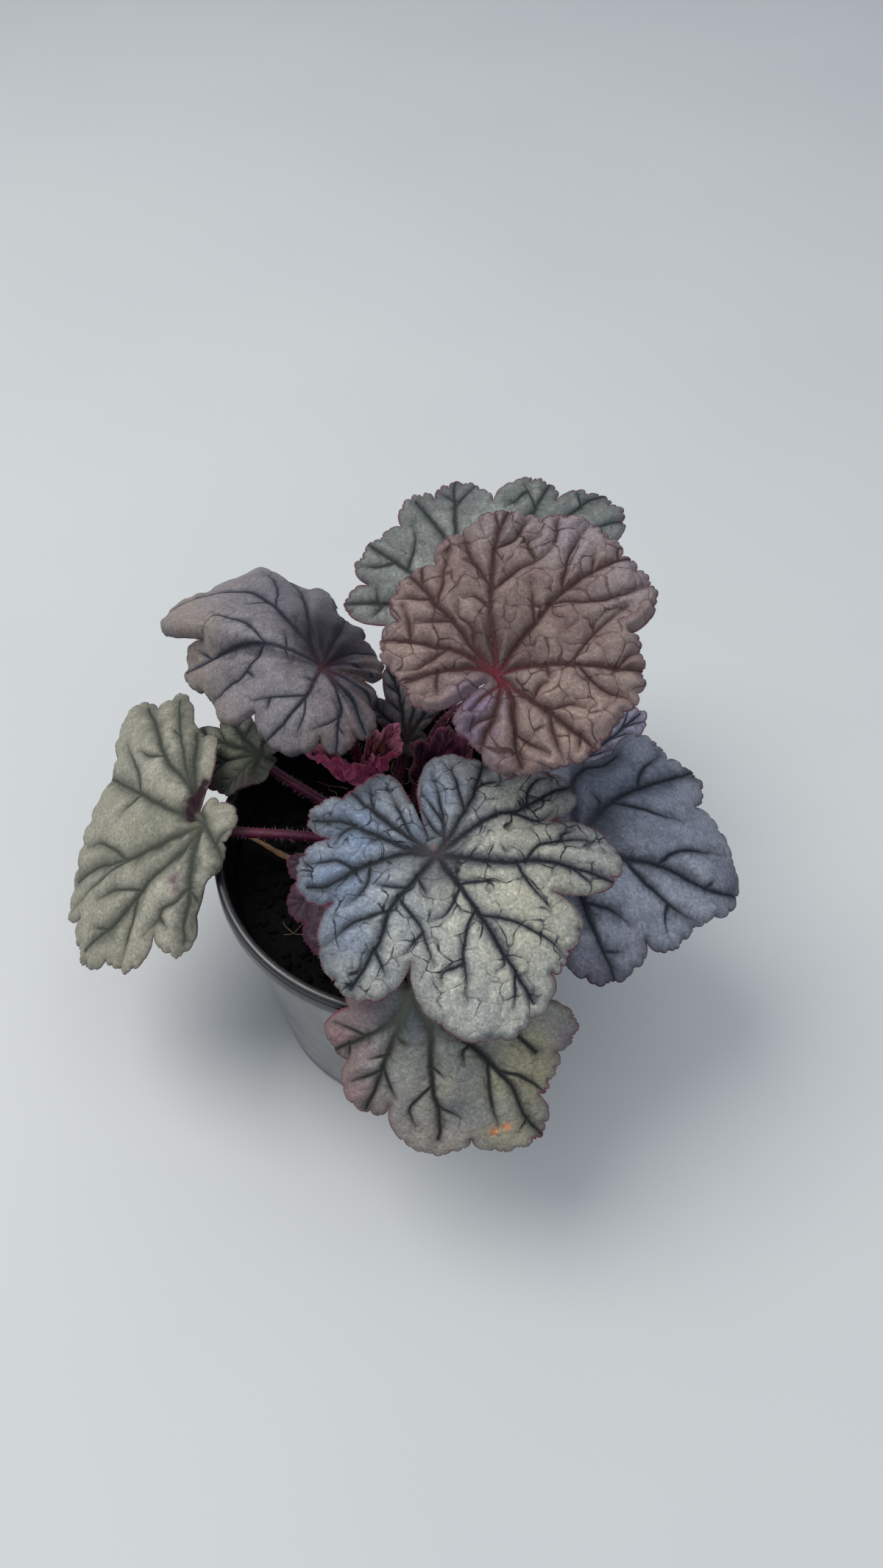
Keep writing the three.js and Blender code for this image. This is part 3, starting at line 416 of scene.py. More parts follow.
LOOKS = {
    "leaf_front": {
        "cell": (164, 164, 155), "cell_2": (139, 141, 139), "halo": (60, 64, 71), "vein": (24, 27, 32),
        "edge": (56, 54, 60), "margin": (96, 34, 54), "hub": (112, 90, 90), "hub_vein": (64, 58, 60),
        "under": (116, 44, 76), "quilt": 1.3, "net": (0.5, 4.8), "veins": (0.55, 0.26, 0.34, 0.13),
        "halo_width": 1.9, "edge_width": 2.7, "hub_size": 0.9, "hub_vein_size": 3.5, "net_reach": 3.6,
        "net_strength": 0.95, "soft": 0.35, "frost": 0.6, "mesh": 0.42,
        "tints": [
            # Painted reflection: this bluish colour stands for the sky mirrored on the lobes that face it.
            ((104, 118, 142), [
                (100, 24, 16, 0.95), (130, 20, 15, 0.95), (75, 30, 9, 0.7), (-150, 12, 10, 0.9),
                (170, 6, 8, 0.9), (60, 8, 7, 0.5),
            ]),
            ((69, 75, 85), [(-89, 34, 10, 0.4), (-110, 24, 9, 0.2), (168, 24, 7, 0.9), (-165, 22, 5, 0.6)]),
            # Painted shade in the hollow round the hub; the last three spots darken lobe tips.
            ((50, 52, 55), [
                (25, 5, 8, 0.75), (-15, 5, 7, 0.7), (75, 6, 5, 0.5), (12, 52, 6, 0.6), (-44, 47, 6, 0.5),
                (70, 36, 5, 0.4),
            ]),
            ((158, 155, 134), [(-35, 26, 20, 0.6), (-75, 24, 14, 0.5), (-8, 34, 10, 0.5)]),
        ],
        "puckers": [(28, 24, 5, 0.7), (-30, 30, 5, 0.6), (-72, 20, 4, 0.5), (80, 25, 5, 0.6)],
    },
    "leaf_top": {
        "cell": (126, 110, 104), "cell_2": (105, 87, 84), "halo": (72, 54, 52), "vein": (52, 32, 32),
        "edge": (109, 94, 96), "margin": (74, 44, 54), "hub": (84, 14, 30), "hub_vein": (84, 18, 32),
        "under": (132, 48, 82), "quilt": 2.5, "swell": 2.2, "net": (0.95, 5.4),
        "veins": (0.44, 0.22, 0.27, 0.13), "hub_size": 0.4, "hub_vein_size": 5.5, "net_reach": 6,
        "net_far": 0.5, "net_strength": 0.85, "soft": 0.25, "painted_valley_shade": 0.25, "mesh": 0.1,
        "tints": [
            ((104, 90, 118), [
                (176, 8, 5.5, 0.95), (170, 14, 5.5, 0.75), (160, 18, 5, 0.5), (-172, 9, 4, 0.9),
            ]),
            ((136, 128, 134), [(-7, 42, 10, 0.7), (-30, 40, 8, 0.4), (20, 42, 9, 0.6), (45, 38, 6, 0.4)]),
            ((143, 122, 114), [(95, 22, 12, 0.8), (75, 14, 6, 0.6), (-105, 22, 10, 0.6), (-75, 30, 8, 0.5)]),
            # Painted shade in the hollow round the hub.
            ((54, 38, 38), [(-45, 9, 8, 0.7), (-15, 9, 7, 0.6), (-75, 7, 6, 0.6), (-30, 15, 5, 0.4)]),
        ],
        "puckers": [
            (-27, 39, 4, 1.3), (-20, 42, 3, -1.0), (79, 24, 4.5, 1.6), (88, 27, 3, -1.2), (40, 30, 4, 1.0),
            (-60, 26, 5, 0.9), (12, 24, 5, 0.9), (66, 26, 4, -0.8),
        ],
    },
    "leaf_upper_left": {
        "cell": (122, 117, 122), "cell_2": (108, 103, 107), "halo": (68, 68, 78), "vein": (30, 30, 38),
        "edge": (62, 50, 50), "margin": (60, 44, 44), "hub": (78, 18, 38), "hub_vein": (60, 18, 30),
        "under": (110, 40, 70), "shade": (26, 21, 28), "quilt": 0.9, "net": (0.16, 4.4),
        "veins": (0.5, 0.22, 0.26, 0.12), "halo_width": 1.0, "hub_size": 0.8, "hub_vein_size": 4.5,
        "net_reach": 2.2, "soft": 0.45, "mesh": 0.15,
        # Painted shade: the first five spots darken the folds beside the hub; the last two darken a patch on a
        # lobe left of the midrib and the tip of the longest lobe.
        "shades": [
            (74, 5, 6, 1.0), (62, 12, 6, 0.75), (84, 13, 5, 0.85), (48, 5, 4, 0.8), (106, 6, 5, 0.9),
            (-76, 25, 4, 0.6), (12, 66, 2.5, 0.9),
        ],
        "tints": [
            ((92, 76, 76), [(-165, 12, 9, 1.0), (160, 12, 9, 1.0), (-125, 18, 8, 0.85), (130, 14, 7, 0.9)]),
            # Painted shade on the pleated side of the blade.
            ((64, 62, 73), [(80, 24, 9, 0.9), (62, 38, 9, 0.6), (100, 14, 8, 0.8), (45, 30, 12, 0.5)]),
            ((134, 121, 110), [(5, 44, 13, 0.85), (20, 54, 11, 0.8), (-20, 38, 9, 0.7), (-90, 18, 6, 0.3)]),
            # Painted shade in the cupped hollow round the hub.
            ((36, 30, 38), [(75, 7, 8, 1.0), (48, 5, 6, 0.9), (110, 7, 6, 0.9), (68, 15, 7, 0.8)]),
        ],
        "puckers": [(-26, 24, 4, 0.7), (30, 22, 5, 0.5), (-80, 14, 3, 0.7)],
        "pleats": [(-165, 52, 17, 0.9), (84, 22, 22, 0.6)],
    },
    "leaf_far_left": {
        "cell": (142, 138, 125), "cell_2": (132, 130, 117), "halo": (86, 87, 77), "vein": (54, 58, 50),
        "edge": (120, 113, 101), "margin": (66, 58, 58), "hub": (112, 110, 86), "hub_vein": (66, 68, 58),
        "under": (112, 34, 68), "shade": (34, 12, 22), "quilt": 1.0, "net": (0.16, 3.8), "pitch": 0.46,
        "veins": (0.55, 0.28, 0.36, 0.16), "halo_width": 3.0, "hub_size": 1.4, "hub_vein_size": 3.0,
        "net_reach": 2.0, "net_strength": 0.3, "soft": 1.0, "mesh": 0.15,
        # Painted shade: a dark wine wedge beside the basal sinus, where the lobes leave a shadowed opening.
        "shades": [
            (110, 2.2, 1.5, 1.4), (138, 4, 2.3, 1.8), (152, 6.2, 2.6, 1.8), (161, 8.8, 2.4, 1.8),
            (168, 11.4, 1.6, 1.5),
        ],
        "tints": [
            # Painted light: the first spot lightens lobes that droop away from the lamps, the others smaller
            # patches.
            ((170, 166, 152), [(-15, 24, 13, 0.85), (10, 34, 7, 0.4), (132, 30, 9, 0.5), (130, 14, 5, 0.3)]),
            ((98, 78, 82), [(6, 16, 2.2, 1.0), (2, 18.5, 1.6, 0.9)]),
            ((112, 112, 98), [(72, 14, 7, 0.8), (105, 9, 6, 0.6)]),
        ],
        "puckers": [(20, 20, 5, 0.7), (80, 34, 6, 0.6), (118, 34, 5, 0.5)],
    },
    "leaf_right": {
        "cell": (150, 153, 164), "cell_2": (125, 130, 142), "halo": (63, 66, 75), "vein": (24, 29, 36),
        "edge": (34, 25, 36), "margin": (40, 20, 36), "hub": (70, 72, 84), "under": (110, 42, 76),
        "quilt": 1.2, "veins": (0.7, 0.3, 0.42, 0.16), "halo_width": 2.8, "edge_width": 3.8, "net_reach": 3.0,
        "net_strength": 0.35, "soft": 0.9,
        "tints": [
            ((75, 85, 104), [(-60, 28, 12, 0.5), (-75, 20, 9, 0.7)]),
            ((79, 81, 91), [(66, 32, 8, 0.5)]),
            ((72, 59, 78), [(0, 48, 6, 0.6), (-36, 46, 5, 0.5), (75, 36, 7, 0.5)]),
            # Painted shade round the hub.
            ((40, 43, 50), [(-30, 8, 9, 0.7), (-45, 16, 6, 0.4)]),
        ],
        "puckers": [(-25, 30, 5, 0.6), (38, 24, 5, 0.6)],
    },
    "leaf_back": {
        "cell": (131, 135, 129), "cell_2": (105, 108, 106), "halo": (71, 75, 73), "vein": (38, 42, 42),
        "edge": (83, 80, 80), "margin": (92, 44, 58), "hub": (90, 88, 84), "quilt": 1.2, "pitch": 0.5,
        "veins": (0.6, 0.28, 0.36, 0.15), "halo_width": 1.8, "net_strength": 0.45, "soft": 0.7,
        "tints": [((89, 90, 92), [(60, 46, 10, 0.5), (75, 57, 9, 0.5), (18, 43, 9, 0.8)])],
        "puckers": [(-45, 24, 5, 0.6), (40, 32, 5, 0.6)],
    },
    "leaf_low_front": {
        "cell": (129, 130, 128), "cell_2": (114, 116, 107), "halo": (66, 66, 62), "vein": (32, 31, 30),
        "edge": (92, 78, 76), "margin": (104, 34, 54), "hub": (104, 110, 96), "under": (124, 40, 72),
        "quilt": 1.2, "net": (0.3, 4.4), "veins": (0.62, 0.26, 0.34, 0.14), "halo_width": 1.5,
        "net_reach": 3.0, "net_strength": 0.35, "soft": 0.8,
        "tints": [
            ((128, 100, 102), [(80, 22, 10, 0.95), (56, 31, 9, 0.9), (105, 13, 7, 0.8), (40, 33, 6, 0.5)]),
            ((150, 143, 116), [(-34, 36, 12, 0.95), (-14, 46, 8, 0.7)]),
            ((196, 124, 77), [(-7, 42.2, 1.2, 1.3), (-11.5, 43, 1.0, 1.3)]),
            ((150, 140, 130), [(14, 40, 11, 0.8), (12, 26, 7, 0.5)]),
            # Painted shadow cast by leaf_front over the part near the hub, with two smaller spots further out.
            ((62, 72, 82), [(15, 5, 9, 0.8), (-14, 24, 5, 0.5), (2, 33, 5, 0.5)]),
            ((98, 90, 104), [(-50, 43, 6, 0.95), (-22, 52, 3.5, 0.8)]),
        ],
        "puckers": [(25, 24, 5, 0.6), (-30, 30, 5, 0.5)],
    },
    "leaf_back_left": {
        "cell": (134, 138, 118), "cell_2": (118, 122, 104), "halo": (58, 66, 52), "vein": (40, 40, 40),
        "edge": (76, 69, 72), "margin": (72, 40, 50), "hub": (70, 72, 56), "hub_vein": (46, 50, 40),
        "under": (104, 36, 64), "net": (0.0, 5.2), "halo_width": 1.9, "net_strength": 0.2, "soft": 0.8,
        "tints": [
            # Painted shade over the lobes on one side of the hub.
            ((58, 50, 50), [(-62, 10, 8, 1.0), (-34, 18, 8, 1.0), (-80, 6, 6, 1.0), (-20, 22, 5, 0.6)]),
        ],
        "puckers": [(20, 22, 4, 0.5)],
    },
    "leaf_back_right": {
        "cell": (140, 142, 158), "cell_2": (119, 115, 128), "halo": (83, 86, 101), "vein": (34, 34, 42),
        "edge": (112, 98, 113), "margin": (90, 36, 62), "hub": (84, 72, 76), "under": (108, 38, 68),
        "net": (0.12, 3.2), "puckers": [(5, 28, 4, 0.5)],
    },
    "leaf_back_centre": {
        "cell": (122, 120, 118), "cell_2": (96, 94, 96), "halo": (58, 57, 63), "vein": (18, 18, 24),
        "edge": (58, 50, 56), "margin": (74, 34, 46), "hub": (60, 50, 50), "under": (104, 34, 62),
        "net": (0.12, 3.0), "veins": (0.45, 0.2, 0.26, 0.12),
        "tints": [
            ((170, 156, 138), [(26, 15, 1.8, 0.9), (34, 10, 1.6, 0.9), (50, 7, 1.4, 0.9), (82, 6, 1.6, 0.8)]),
        ],
        "puckers": [(20, 16, 3, 0.8)],
    },
    "leaf_low_left": {
        "cell": (71, 54, 64), "cell_2": (61, 45, 55), "halo": (44, 31, 40), "vein": (34, 24, 34),
        "edge": (61, 39, 50), "margin": (96, 34, 58), "hub": (84, 54, 62), "under": (108, 34, 64),
        "net": (0.14, 3.0), "veins": (0.45, 0.2, 0.26, 0.12), "halo_width": 0.9,
        "puckers": [(-30, 12, 3, 0.5)],
    },
    "young_leaf_crimson": {
        "cell": (220, 126, 156), "cell_2": (144, 73, 94), "halo": (144, 78, 103), "vein": (52, 16, 32),
        "edge": (231, 165, 182), "margin": (206, 104, 140), "hub": (66, 24, 36), "under": (180, 66, 106),
        "quilt": 0.6, "net": (0.3, 2.6), "crumple": 1.5, "ragged": 1.0, "veins": (0.4, 0.18, 0.24, 0.1),
        "halo_width": 0.6, "edge_width": 1.2,
        "tints": [
            ((135, 94, 73), [
                (-100, 12, 7, 0.9), (0, 9, 6, 0.9), (120, 12, 5, 0.6), (-50, 10, 5, 0.9), (60, 12, 6, 0.8),
                (-110, 18, 4, 0.6),
            ]),
            ((69, 23, 41), [(-75, 4, 5, 0.9), (60, 3, 4, 0.9)]),
        ],
        "puckers": [(-60, 12, 2.5, 0.7), (60, 12, 3, -0.6), (-110, 14, 2.5, -0.6)],
    },
    "young_leaf_dark": {
        "cell": (65, 34, 52), "cell_2": (49, 23, 37), "halo": (41, 18, 30), "vein": (38, 14, 26),
        "edge": (88, 46, 68), "margin": (132, 62, 88), "hub": (60, 24, 34), "under": (78, 24, 46),
        "quilt": 0.6, "net": (0.3, 2.6), "crumple": 0.55, "ragged": 0.8, "veins": (0.4, 0.18, 0.24, 0.1),
        "halo_width": 0.6,
        "tints": [
            ((74, 26, 46), [(70, 12, 9, 0.8), (-60, 8, 6, 0.6)]),
            ((128, 116, 104), [(58, 23, 1.6, 0.8), (-92, 17, 1.6, 0.6), (30, 20, 1.4, 0.6)]),
        ],
        "puckers": [(60, 14, 3, 0.6)],
    },
}

# ---------------------------------------------------------------- helpers


def linear(colour):
    """A shader colour from sRGB values of 0 to 255."""
    c = np.array(colour) / 255
    c = np.where(c <= 0.04045, c / 12.92, ((c + 0.055) / 1.055) ** 2.4)
    return (*c.tolist(), 1.0)


def smoothstep(low, high, value):
    t = np.clip((value - low) / (high - low), 0, 1)
    return t * t * (3 - 2 * t)


def fade(away, width):
    return np.exp(-away / width)


def bell(away, width, power=2):
    return np.exp(-((away / width) ** power))


def wander(x, y, pitch, seed):
    """Smooth seeded noise from -1 to 1 whose lumps are one pitch apart."""
    size = 64
    table = np.random.default_rng(seed).uniform(-1, 1, (size, size))
    u, v = np.asarray(x) / pitch, np.asarray(y) / pitch
    i, j = np.floor(u).astype(int), np.floor(v).astype(int)
    s, t = u - i, v - j
    s, t = s * s * (3 - 2 * s), t * t * (3 - 2 * t)
    i0, j0, i1, j1 = i % size, j % size, (i + 1) % size, (j + 1) % size
    near = table[i0, j0] * (1 - s) + table[i1, j0] * s
    far = table[i0, j1] * (1 - s) + table[i1, j1] * s
    return near * (1 - t) + far * t


def waves(chart, seed, key):
    pitch, step = WAVES[key]
    return wander(*chart.T, pitch, seed + step)


def shaken(points, amount, pitch, seed):
    """The chart points, moved a little by smooth noise."""
    shifts = [wander(*points.T, pitch, seed), wander(*points.T, pitch, seed + 1)]
    return points + amount * np.stack(shifts, -1)


def direction(azimuth, elevation):
    a, e = np.radians(azimuth), np.radians(elevation)
    return np.array([np.cos(e) * np.cos(a), np.cos(e) * np.sin(a), np.sin(e)])


def unit(vectors):
    return vectors / np.maximum(np.linalg.norm(vectors, axis=-1, keepdims=True), 1e-9)


def round_turn(count):
    """Angles in radians, evenly round one turn."""
    return 2 * np.pi * np.arange(count) / count


def tree_of(points):
    """A search tree over chart or space points."""
    flat = np.zeros((len(points), 3))
    flat[:, : points.shape[1]] = points
    tree = kdtree.KDTree(len(flat))
    for i, p in enumerate(flat):
        tree.insert(p, i)
    tree.balance()
    return tree


def nearest(tree, points):
    """Distance to and number of the nearest of the tree's points, for each of these chart points."""
    found = [tree.find((x, y, 0.0)) for x, y in points.tolist()]
    return np.array([f[2] for f in found]), np.array([f[1] for f in found])


def smooth_path(points, pitch):
    """A smooth line through the points, with its own points one pitch apart."""
    p = np.array(points, float)
    if len(p) == 2:
        count = max(2, int(np.linalg.norm(p[1] - p[0]) / pitch))
        return p[0] + (p[1] - p[0]) * np.linspace(0, 1, count)[:, None]
    chord = np.maximum(np.linalg.norm(np.diff(p, axis=0), axis=1), 1e-6)
    slope = np.diff(p, axis=0) / chord[:, None]
    tangent = np.empty_like(p)
    before, after = chord[:-1, None], chord[1:, None]
    tangent[1:-1] = (slope[:-1] * after + slope[1:] * before) / (before + after)
    tangent[0], tangent[-1] = slope[0], slope[-1]
    line = [p[:1]]
    for i, length in enumerate(chord):
        t = np.linspace(0, 1, max(2, int(length / pitch)) + 1)[1:, None]
        a, b = tangent[i] * length, tangent[i + 1] * length
        line.append(
            (2 * t**3 - 3 * t**2 + 1) * p[i] + (t**3 - 2 * t**2 + t) * a
            + (3 * t**2 - 2 * t**3) * p[i + 1] + (t**3 - t**2) * b
        )
    return np.concatenate(line)


def make_piece(name, points, faces, materials, kinds=None, attributes=None):
    """A Blender object from points in millimetres. kinds is each face's material number."""
    mesh = bpy.data.meshes.new(name)
    mesh.from_pydata((np.asarray(points) * MM).tolist(), [], [list(f) for f in faces])
    for material in materials:
        mesh.materials.append(material)
    if kinds is not None:
        mesh.polygons.foreach_set("material_index", np.asarray(kinds, np.int32))
    mesh.polygons.foreach_set("use_smooth", np.full(len(mesh.polygons), True))
    for key, values in (attributes or {}).items():
        attribute = mesh.attributes.new(key, "FLOAT", "POINT")
        attribute.data.foreach_set("value", np.asarray(values, np.float32))
    mesh.validate()
    piece = bpy.data.objects.new(name, mesh)
    bpy.context.scene.collection.objects.link(piece)
    return piece


def join(parts):
    """Points and faces of several (points, faces) as one list each."""
    points, faces, start = [], [], 0
    for part_points, part_faces in parts:
        points.append(np.asarray(part_points))
        faces += [[int(i) + start for i in face] for face in part_faces]
        start += len(part_points)
    return np.concatenate(points), faces


def band_faces(rows, around):
    """The faces between rows of points that each run once round."""
    i, j = np.meshgrid(np.arange(rows - 1), np.arange(around), indexing="ij")
    k = (j + 1) % around
    corners = [i * around + j, i * around + k, (i + 1) * around + k, (i + 1) * around + j]
    return np.stack(corners, -1).reshape(-1, 4)


def tube(path, radii, sides, grooves=0, groove_depth=0.0):
    """A closed tube along a path, turned as little as possible on its way."""
    path = np.asarray(path)
    heading = unit(np.gradient(path, axis=0))
    side = np.empty_like(path)
    off_the_path = [0.3, 0.2, 1.0]
    side[0] = unit(np.cross(heading[0], off_the_path))
    for i in range(1, len(path)):
        side[i] = unit(side[i - 1] - heading[i] * (side[i - 1] @ heading[i]))
    other = np.cross(heading, side)
    a = round_turn(sides)
    reach = np.asarray(radii)[:, None] * (1 + groove_depth * np.cos(grooves * a))[None, :]
    ring = (side[:, None, :] * np.cos(a)[None, :, None] + other[:, None, :] * np.sin(a)[None, :, None])
    points = (path[:, None, :] + ring * reach[:, :, None]).reshape(-1, 3)
    last = (len(path) - 1) * sides
    ends = [list(range(sides))[::-1], list(range(last, last + sides))]
    return points, band_faces(len(path), sides).tolist() + ends


def turned(profile, segments):
    """A closed band of faces round the Z axis through (radius, height) points."""
    profile = np.array(profile, float)
    a = round_turn(segments)
    points = np.stack([
        profile[:, :1] * np.cos(a), profile[:, :1] * np.sin(a), np.repeat(profile[:, 1:], segments, 1),
    ], -1).reshape(-1, 3)
    return points, band_faces(len(profile), segments)


def hairs(roots, ways, lengths, radius, seed):
    """Fine tapering hairs, each a slightly bent cone of three sides."""
    rng = np.random.default_rng(seed)
    ways = unit(np.asarray(ways))
    side = unit(np.cross(ways, rng.normal(size=ways.shape)))
    other = np.cross(ways, side)
    lengths = np.asarray(lengths)[:, None]
    bend = side * lengths * rng.uniform(-0.25, 0.25, lengths.shape)
    rows, pattern = [], []
    for share, width in ((0.0, 1.0), (0.55, 0.6)):
        centre = roots + ways * lengths * share + bend * share**2
        for a in round_turn(3):
            rows.append(centre + (side * np.cos(a) + other * np.sin(a)) * radius * width)
    rows.append(roots + ways * lengths + bend)
    for corner in range(3):
        after = (corner + 1) % 3
        pattern += [(corner, after, 3 + after), (corner, 3 + after, 3 + corner), (3 + corner, 3 + after, 6)]
    faces = (np.arange(len(roots))[:, None, None] * len(rows) + np.array(pattern)[None]).reshape(-1, 3)
    return np.stack(rows, 1).reshape(-1, 3), faces


# ---------------------------------------------------------------- the blade's surface


def blade_frame(leaf):
    """The blade's own axes: to the right of its midrib, along it, and out of its upper face."""
    tilt, lean, heading = leaf["pose"]
    normal = direction(lean, 90 - tilt)
    along = direction(heading, 0)
    along = unit(along - normal * (along @ normal))
    return np.cross(along, normal), along, normal


def between_lobes(angles, values, angle, near_hub, sinus):
    """A value eased from lobe to lobe. Near the hub it closes smoothly across the basal sinus as well."""
    i = np.clip(np.searchsorted(angles, angle, side="right") - 1, 0, len(angles) - 2)
    t = (1 - np.cos(np.pi * np.clip((angle - angles[i]) / (angles[i + 1] - angles[i]), 0, 1))) / 2
    plain = values[i] * (1 - t) + values[i + 1] * t
    back = (values[0] + values[-1]) / 2
    past = np.where(angle > angles[-1], (angle - angles[-1]) / (sinus - angles[-1]), 0)
    past = np.where(angle < angles[0], (angles[0] - angle) / (360 - sinus + angles[0]), past)
    return plain + (back - plain) * smoothstep(0, 1, past) * near_hub


def blade_surface(leaf, chart):
    """Points of the bare blade. Each direction from the hub is an arc that starts at the lobe's rise."""
    lobes = np.array(leaf["lobes"], float)
    reach = np.maximum(np.hypot(chart[:, 0], chart[:, 1]), 1e-6)
    sinus = leaf["sinus"]
    angle = sinus - (sinus - np.degrees(np.arctan2(chart[:, 0], chart[:, 1]))) % 360
    near_hub = 1 - smoothstep(1.5, 6, reach)
    rise = np.radians(between_lobes(lobes[:, 0], lobes[:, 2], angle, near_hub, sinus))
    turn = np.radians(between_lobes(lobes[:, 0], lobes[:, 3] / lobes[:, 1], angle, near_hub, sinus))
    turn = np.where(np.abs(turn) < 1e-6, 1e-6, turn)
    out = (np.sin(rise + turn * reach) - np.sin(rise)) / turn
    up = (np.cos(rise) - np.cos(rise + turn * reach)) / turn
    right, along, normal = blade_frame(leaf)
    spread = chart / reach[:, None] * out[:, None]
    flat = spread[:, :1] * right + spread[:, 1:] * along
    return np.array(leaf["hub"], float) + flat + up[:, None] * normal


def blade_slopes(leaf, chart):
    """How the bare surface runs along the chart's two axes, and its normals."""
    step = 0.05
    base = blade_surface(leaf, chart)
    over = (blade_surface(leaf, chart + [step, 0]) - base) / step
    along = (blade_surface(leaf, chart + [0, step]) - base) / step
    return over, along, unit(np.cross(over, along))


def chart_points(angle, reach):
    return np.stack([reach * np.sin(angle), reach * np.cos(angle)], -1)


def from_polar(rows):
    """Chart points from (degrees off the midrib, reach) pairs."""
    return chart_points(np.radians([r[0] for r in rows]), np.array([r[1] for r in rows], float))


def edge_loop(leaf, seed, pitch, ragged):
    """The toothed edge as chart points one pitch apart, clockwise from the basal sinus."""
    rng = np.random.default_rng(seed)
    sinus, half_gap = leaf["sinus"], leaf["half_gap"]
    bounds = [(sinus - 360 + half_gap, SINUS_REACH), *leaf["clefts"], (sinus - half_gap, SINUS_REACH)]
    angles, reaches = [], []
    final = len(leaf["lobes"]) - 1
    for i, (tip_angle, tip_reach, _, _, teeth) in enumerate(leaf["lobes"]):
        (start, start_reach), (end, end_reach) = bounds[i], bounds[i + 1]
        first = leaf["basal"][0] if i == 0 else LOBE_ROUNDNESS
        last = leaf["basal"][1] if i == final else LOBE_ROUNDNESS
        share = np.linspace(0, 1, SAMPLES_A_TOOTH * teeth, endpoint=False)
        angle = start + (end - start) * share
        before = angle <= tip_angle
        cleft = np.where(before, start, end)
        cleft_reach = np.where(before, start_reach, end_reach)
        t = np.clip((angle - cleft) / (tip_angle - cleft), 0, 1)
        swell = np.sin(np.pi / 2 * t) ** np.where(before, first, last)
        reach = cleft_reach + (tip_reach - cleft_reach) * swell
        for count, (deepest, shallow, blunt) in ((teeth, BIG_TEETH), (2 * teeth + 1, SMALL_TEETH)):
            tooth = np.minimum((share * count).astype(int), count - 1)
            depth = deepest * rng.uniform(shallow, 1, count)[tooth]
            wave = np.abs(np.sin(np.pi * count * share))
            reach = reach * (1 - depth * (1 - wave**blunt))
        angles.append(angle)
        reaches.append(reach)
    reach = np.maximum(np.concatenate(reaches) - EDGE_INSET, 0.8 * SINUS_REACH)
    line = shaken(chart_points(np.radians(np.concatenate(angles)), reach), ragged, 2.3, seed)
    length = np.concatenate([[0], np.cumsum(np.linalg.norm(np.diff(line, axis=0), axis=1))])
    even = np.linspace(0, length[-1], int(length[-1] / pitch))
    return np.stack([np.interp(even, length, line[:, 0]), np.interp(even, length, line[:, 1])], -1)


def inside(loop, points):
    """Whether each point lies inside the loop, by counting the edges to its left."""
    start, end = loop, np.roll(loop, -1, axis=0)
    found = np.zeros(len(points), bool)
    points_at_once = 4000
    for part in np.array_split(np.arange(len(points)), max(1, len(points) // points_at_once)):
        x, y = points[part, :1], points[part, 1:]
        spans = (start[:, 1] <= y) != (end[:, 1] <= y)
        rise = np.where(end[:, 1] == start[:, 1], 1, end[:, 1] - start[:, 1])
        cross = start[:, 0] + (y - start[:, 1]) / rise * (end[:, 0] - start[:, 0])
        found[part] = (spans & (cross < x)).sum(1) % 2 == 1
    return found


def filled_chart(loop, pitch, seed):
    """Triangles that fill the loop, with points on a loosened hexagonal grid."""
    low, high = loop.min(0), loop.max(0)
    grid = []
    for i, y in enumerate(np.arange(low[1], high[1], pitch * GRID["row"])):
        x = np.arange(low[0] + (i % 2) * pitch / 2, high[0], pitch)
        grid.append(np.stack([x, np.full_like(x, y)], -1))
    grid = np.concatenate(grid)
    grid += np.random.default_rng(seed).uniform(-GRID["loose"], GRID["loose"], grid.shape) * pitch
    grid = grid[inside(loop, grid)]
    away, _ = nearest(tree_of(loop), grid)
    grid = grid[away > GRID["edge_gap"] * pitch]
    points = [Vector(p) for p in np.concatenate([loop, grid]).tolist()]
    count = len(loop)
    edges = [(i, (i + 1) % count) for i in range(count)]
    made = delaunay_2d_cdt(points, edges, [], 0, 1e-5, True)
    chart, triangles = np.array([tuple(v) for v in made[0]]), np.array(made[2])
    on_loop = np.array([min(source, default=0) < count for source in made[3]])
    doubtful = np.flatnonzero(on_loop[triangles].all(1))
    outside = doubtful[~inside(loop, chart[triangles[doubtful]].mean(1))]
    return chart, np.delete(triangles, outside, 0)


def rim_of(triangles):
    """The directed edges that only one triangle has."""
    edges = np.concatenate([triangles[:, [0, 1]], triangles[:, [1, 2]], triangles[:, [2, 0]]])
    size = int(edges.max()) + 1
    return edges[~np.isin(edges[:, 0] * size + edges[:, 1], edges[:, 1] * size + edges[:, 0])]


# ---------------------------------------------------------------- veins


def rule_veins(leaf):
    """A rib for each lobe that ends short of its tip, and branches that fork off to both of its sides."""
    ribs, branches = [], []
    lobes = leaf["lobes"]
    for i, (angle, reach, _, _, _) in enumerate(lobes):
        ribs.append([(angle * turn, reach * out) for turn, out in RULE["rib"]])
        for side in (-1, 1):
            other = lobes[max(0, min(len(lobes) - 1, i + side))][0]
            spread = (other - angle) * RULE["spread"] if other != angle else side * RULE["end_spread"]
            for start in RULE["forks"]:
                turn = spread * (1.1 - start)
                branches.append([(angle + turn * bend, reach * (start + out)) for bend, out in RULE["fork"]])
    return ribs, branches


def vein_lines(paths, widths, meet):
    """Points close together along each rib, each with the rib's half-width, which is less where ribs meet."""
    lines = []
    for path in paths:
        line = smooth_path(from_polar([meet, *path]), LINE_PITCH)
        start = 0.7 + 0.3 * smoothstep(0, 6, np.hypot(line[:, 0], line[:, 1]))
        lines.append((line, start * np.linspace(*widths, len(line))))
    return lines


def joined_branches(branches, ribs, widths):
    """The branches, each drawn to start on the nearest vein before it."""
    lines = list(ribs)
    for path in branches:
        rows = from_polar(path)
        known = np.concatenate([line for line, _ in lines])
        away = np.linalg.norm(known - rows[0], axis=1)
        if away.min() < JOIN_REACH:
            rows[0] = known[away.argmin()]
        line = smooth_path(rows, LINE_PITCH)
        lines.append((line, np.linspace(*widths, len(line))))
    return lines[len(ribs):]


